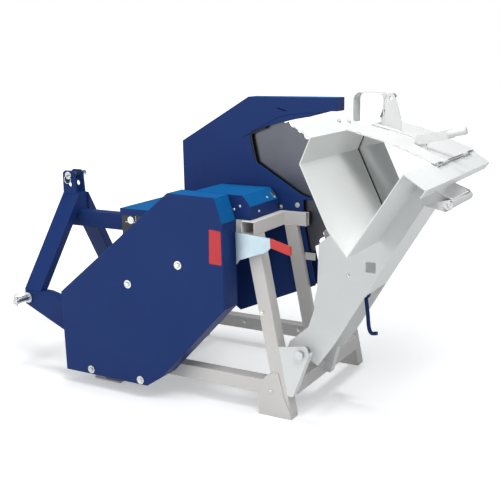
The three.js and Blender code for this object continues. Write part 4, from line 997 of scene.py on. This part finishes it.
# hitch: a pull ring in an eye on the top link pin
pullRing = {
    "eye": (-1196, 272.5, 886), "eyeRadius": 0.005, "eyeWire": 0.0017, "eyeSteps": 20,
    "radius": 0.019, "wire": 0.0022, "steps": 40, "slack": 0.0006, "lead": 0.001,
}
eye = place(*pullRing["eye"])
bm = bmesh.new()
addRing(bm, eye, toRight, pullRing["eyeRadius"], pullRing["eyeWire"], pullRing["eyeSteps"])
inner = pullRing["radius"] - pullRing["wire"]
drop = inner + pullRing["eyeRadius"] - pullRing["eyeWire"] - pullRing["slack"]
hanging = eye + Vector((0, -pullRing["lead"], -drop))
addRing(bm, hanging, toBack, pullRing["radius"], pullRing["wire"], pullRing["steps"])
newPiece("topPinRing", bm, zinc, "link_pin")

# gearbox: top plate and end cap
gearPlate = {
    "low": (-744, 108), "high": (-604, 262), "seat": 388.6,
    "thickness": 0.006, "corner": 0.014, "cornerSteps": 6, "edge": 0.0008,
}
gearAxis = (-674, 300)
gearCap = {
    "seat": 280.3, "face": 287.3, "boltCircle": 33, "steps": 40,
    "profile": [(0, 0), (0.043, 0), (0.043, 0.005), (0.041, 0.007), (0.024, 0.007), (0.021, 0.0045),
                (0, 0.0045)],
}
(lowX, lowY), (highX, highY) = gearPlate["low"], gearPlate["high"]
corners = ((lowX, lowY), (highX, lowY), (highX, highY), (lowX, highY))
bm = bmesh.new()
addSlab(bm, [place(x, y, gearPlate["seat"]) for x, y in corners], upward, gearPlate["thickness"])
roundCorners(bm, gearPlate)
capSeat = place(gearAxis[0], gearCap["seat"], gearAxis[1])
addTurned(bm, gearCap["profile"], standOn(capSeat, toBack), gearCap["steps"])
newPiece("gearboxCovers", bm, "castIron", "frame", gearPlate["edge"])

# gearbox: bolts of the plate, the cap and the output flange
gearBolt = {
    "washer": 0.0085, "washerThickness": 0.0014, "across": 0.013, "head": 0.0055, "chamfer": 0.0012,
}
plateTop = gearPlate["seat"] + gearPlate["thickness"] * 1000
plateRows = {"x": (-731, -617), "y": (121, 185, 249)}
plateSpots = [(x, y, plateTop) for x in plateRows["x"] for y in plateRows["y"]]
gearOutput = {"face": 70, "boltCircle": 50}
capSpots = circleSpots(gearAxis, gearCap["boltCircle"], gearCap["face"])
outputSpots = circleSpots(gearAxis, gearOutput["boltCircle"], gearOutput["face"])
boltPiece("gearboxTopBolts", plateSpots, upward, gearBolt, "frame")
boltPiece("gearboxCapBolts", capSpots, toBack, gearBolt, "frame")
boltPiece("gearboxOutputBolts", outputSpots, toFront, gearBolt, "frame")

# gearbox: filler and level plugs
plug = {"washer": 0.0125, "washerThickness": 0.002, "across": 0.019, "head": 0.009, "chamfer": 0.002}
fillerSpot = (gearAxis[0], 150, plateTop)
levelSpot = (-589, 210, 262)
boltPiece("gearboxFiller", [fillerSpot], upward, plug, "frame", "darkSteel")
boltPiece("gearboxLevelPlug", [levelSpot], toRight, plug, "frame", "darkSteel")
print("gearbox dressed")

# hitch: weld beads of the strut at both ends
hitchWeld = {
    "headLine": -1153, "headFaces": (284, 356), "headHeights": (702, 714),
    "railLine": -663.6, "railFaces": (289.8, 350.2), "railHeights": (642, 714),
    "topFaces": (292, 348), "topHeight": 716.2,
}
bm = bmesh.new()
for y in hitchWeld["headFaces"]:
    addUprightWeld(bm, hitchWeld["headLine"], y, hitchWeld["headHeights"])
for y in hitchWeld["railFaces"]:
    addUprightWeld(bm, hitchWeld["railLine"], y, hitchWeld["railHeights"])
addWeld(bm, *[place(hitchWeld["railLine"], y, hitchWeld["topHeight"]) for y in hitchWeld["topFaces"]])
newPiece("hitchWelds", bm, "bluePaint", "frame")

# cradle: weld beads between the trough's underside and the arms
cradleWeld = {
    "line": [(413.4, 850.3), (486.3, 760.2), (681.0, 1057.7)], "faces": (67.6, 309.4),
    "shares": (0.04, 0.96), "proud": 0.001,
}
bm = bmesh.new()
for y in cradleWeld["faces"]:
    points = [place(x, y, z) for x, z in cradleWeld["line"]]
    for start, end in zip(points, points[1:]):
        run = (end - start).normalized()
        outward = Vector((run.z, 0, -run.x)) * cradleWeld["proud"]
        addWeld(bm, *[start.lerp(end, share) + outward for share in cradleWeld["shares"]])
newPiece("cradleWelds", bm, "cradlePaint", "cradle")
print("hitch dressed")
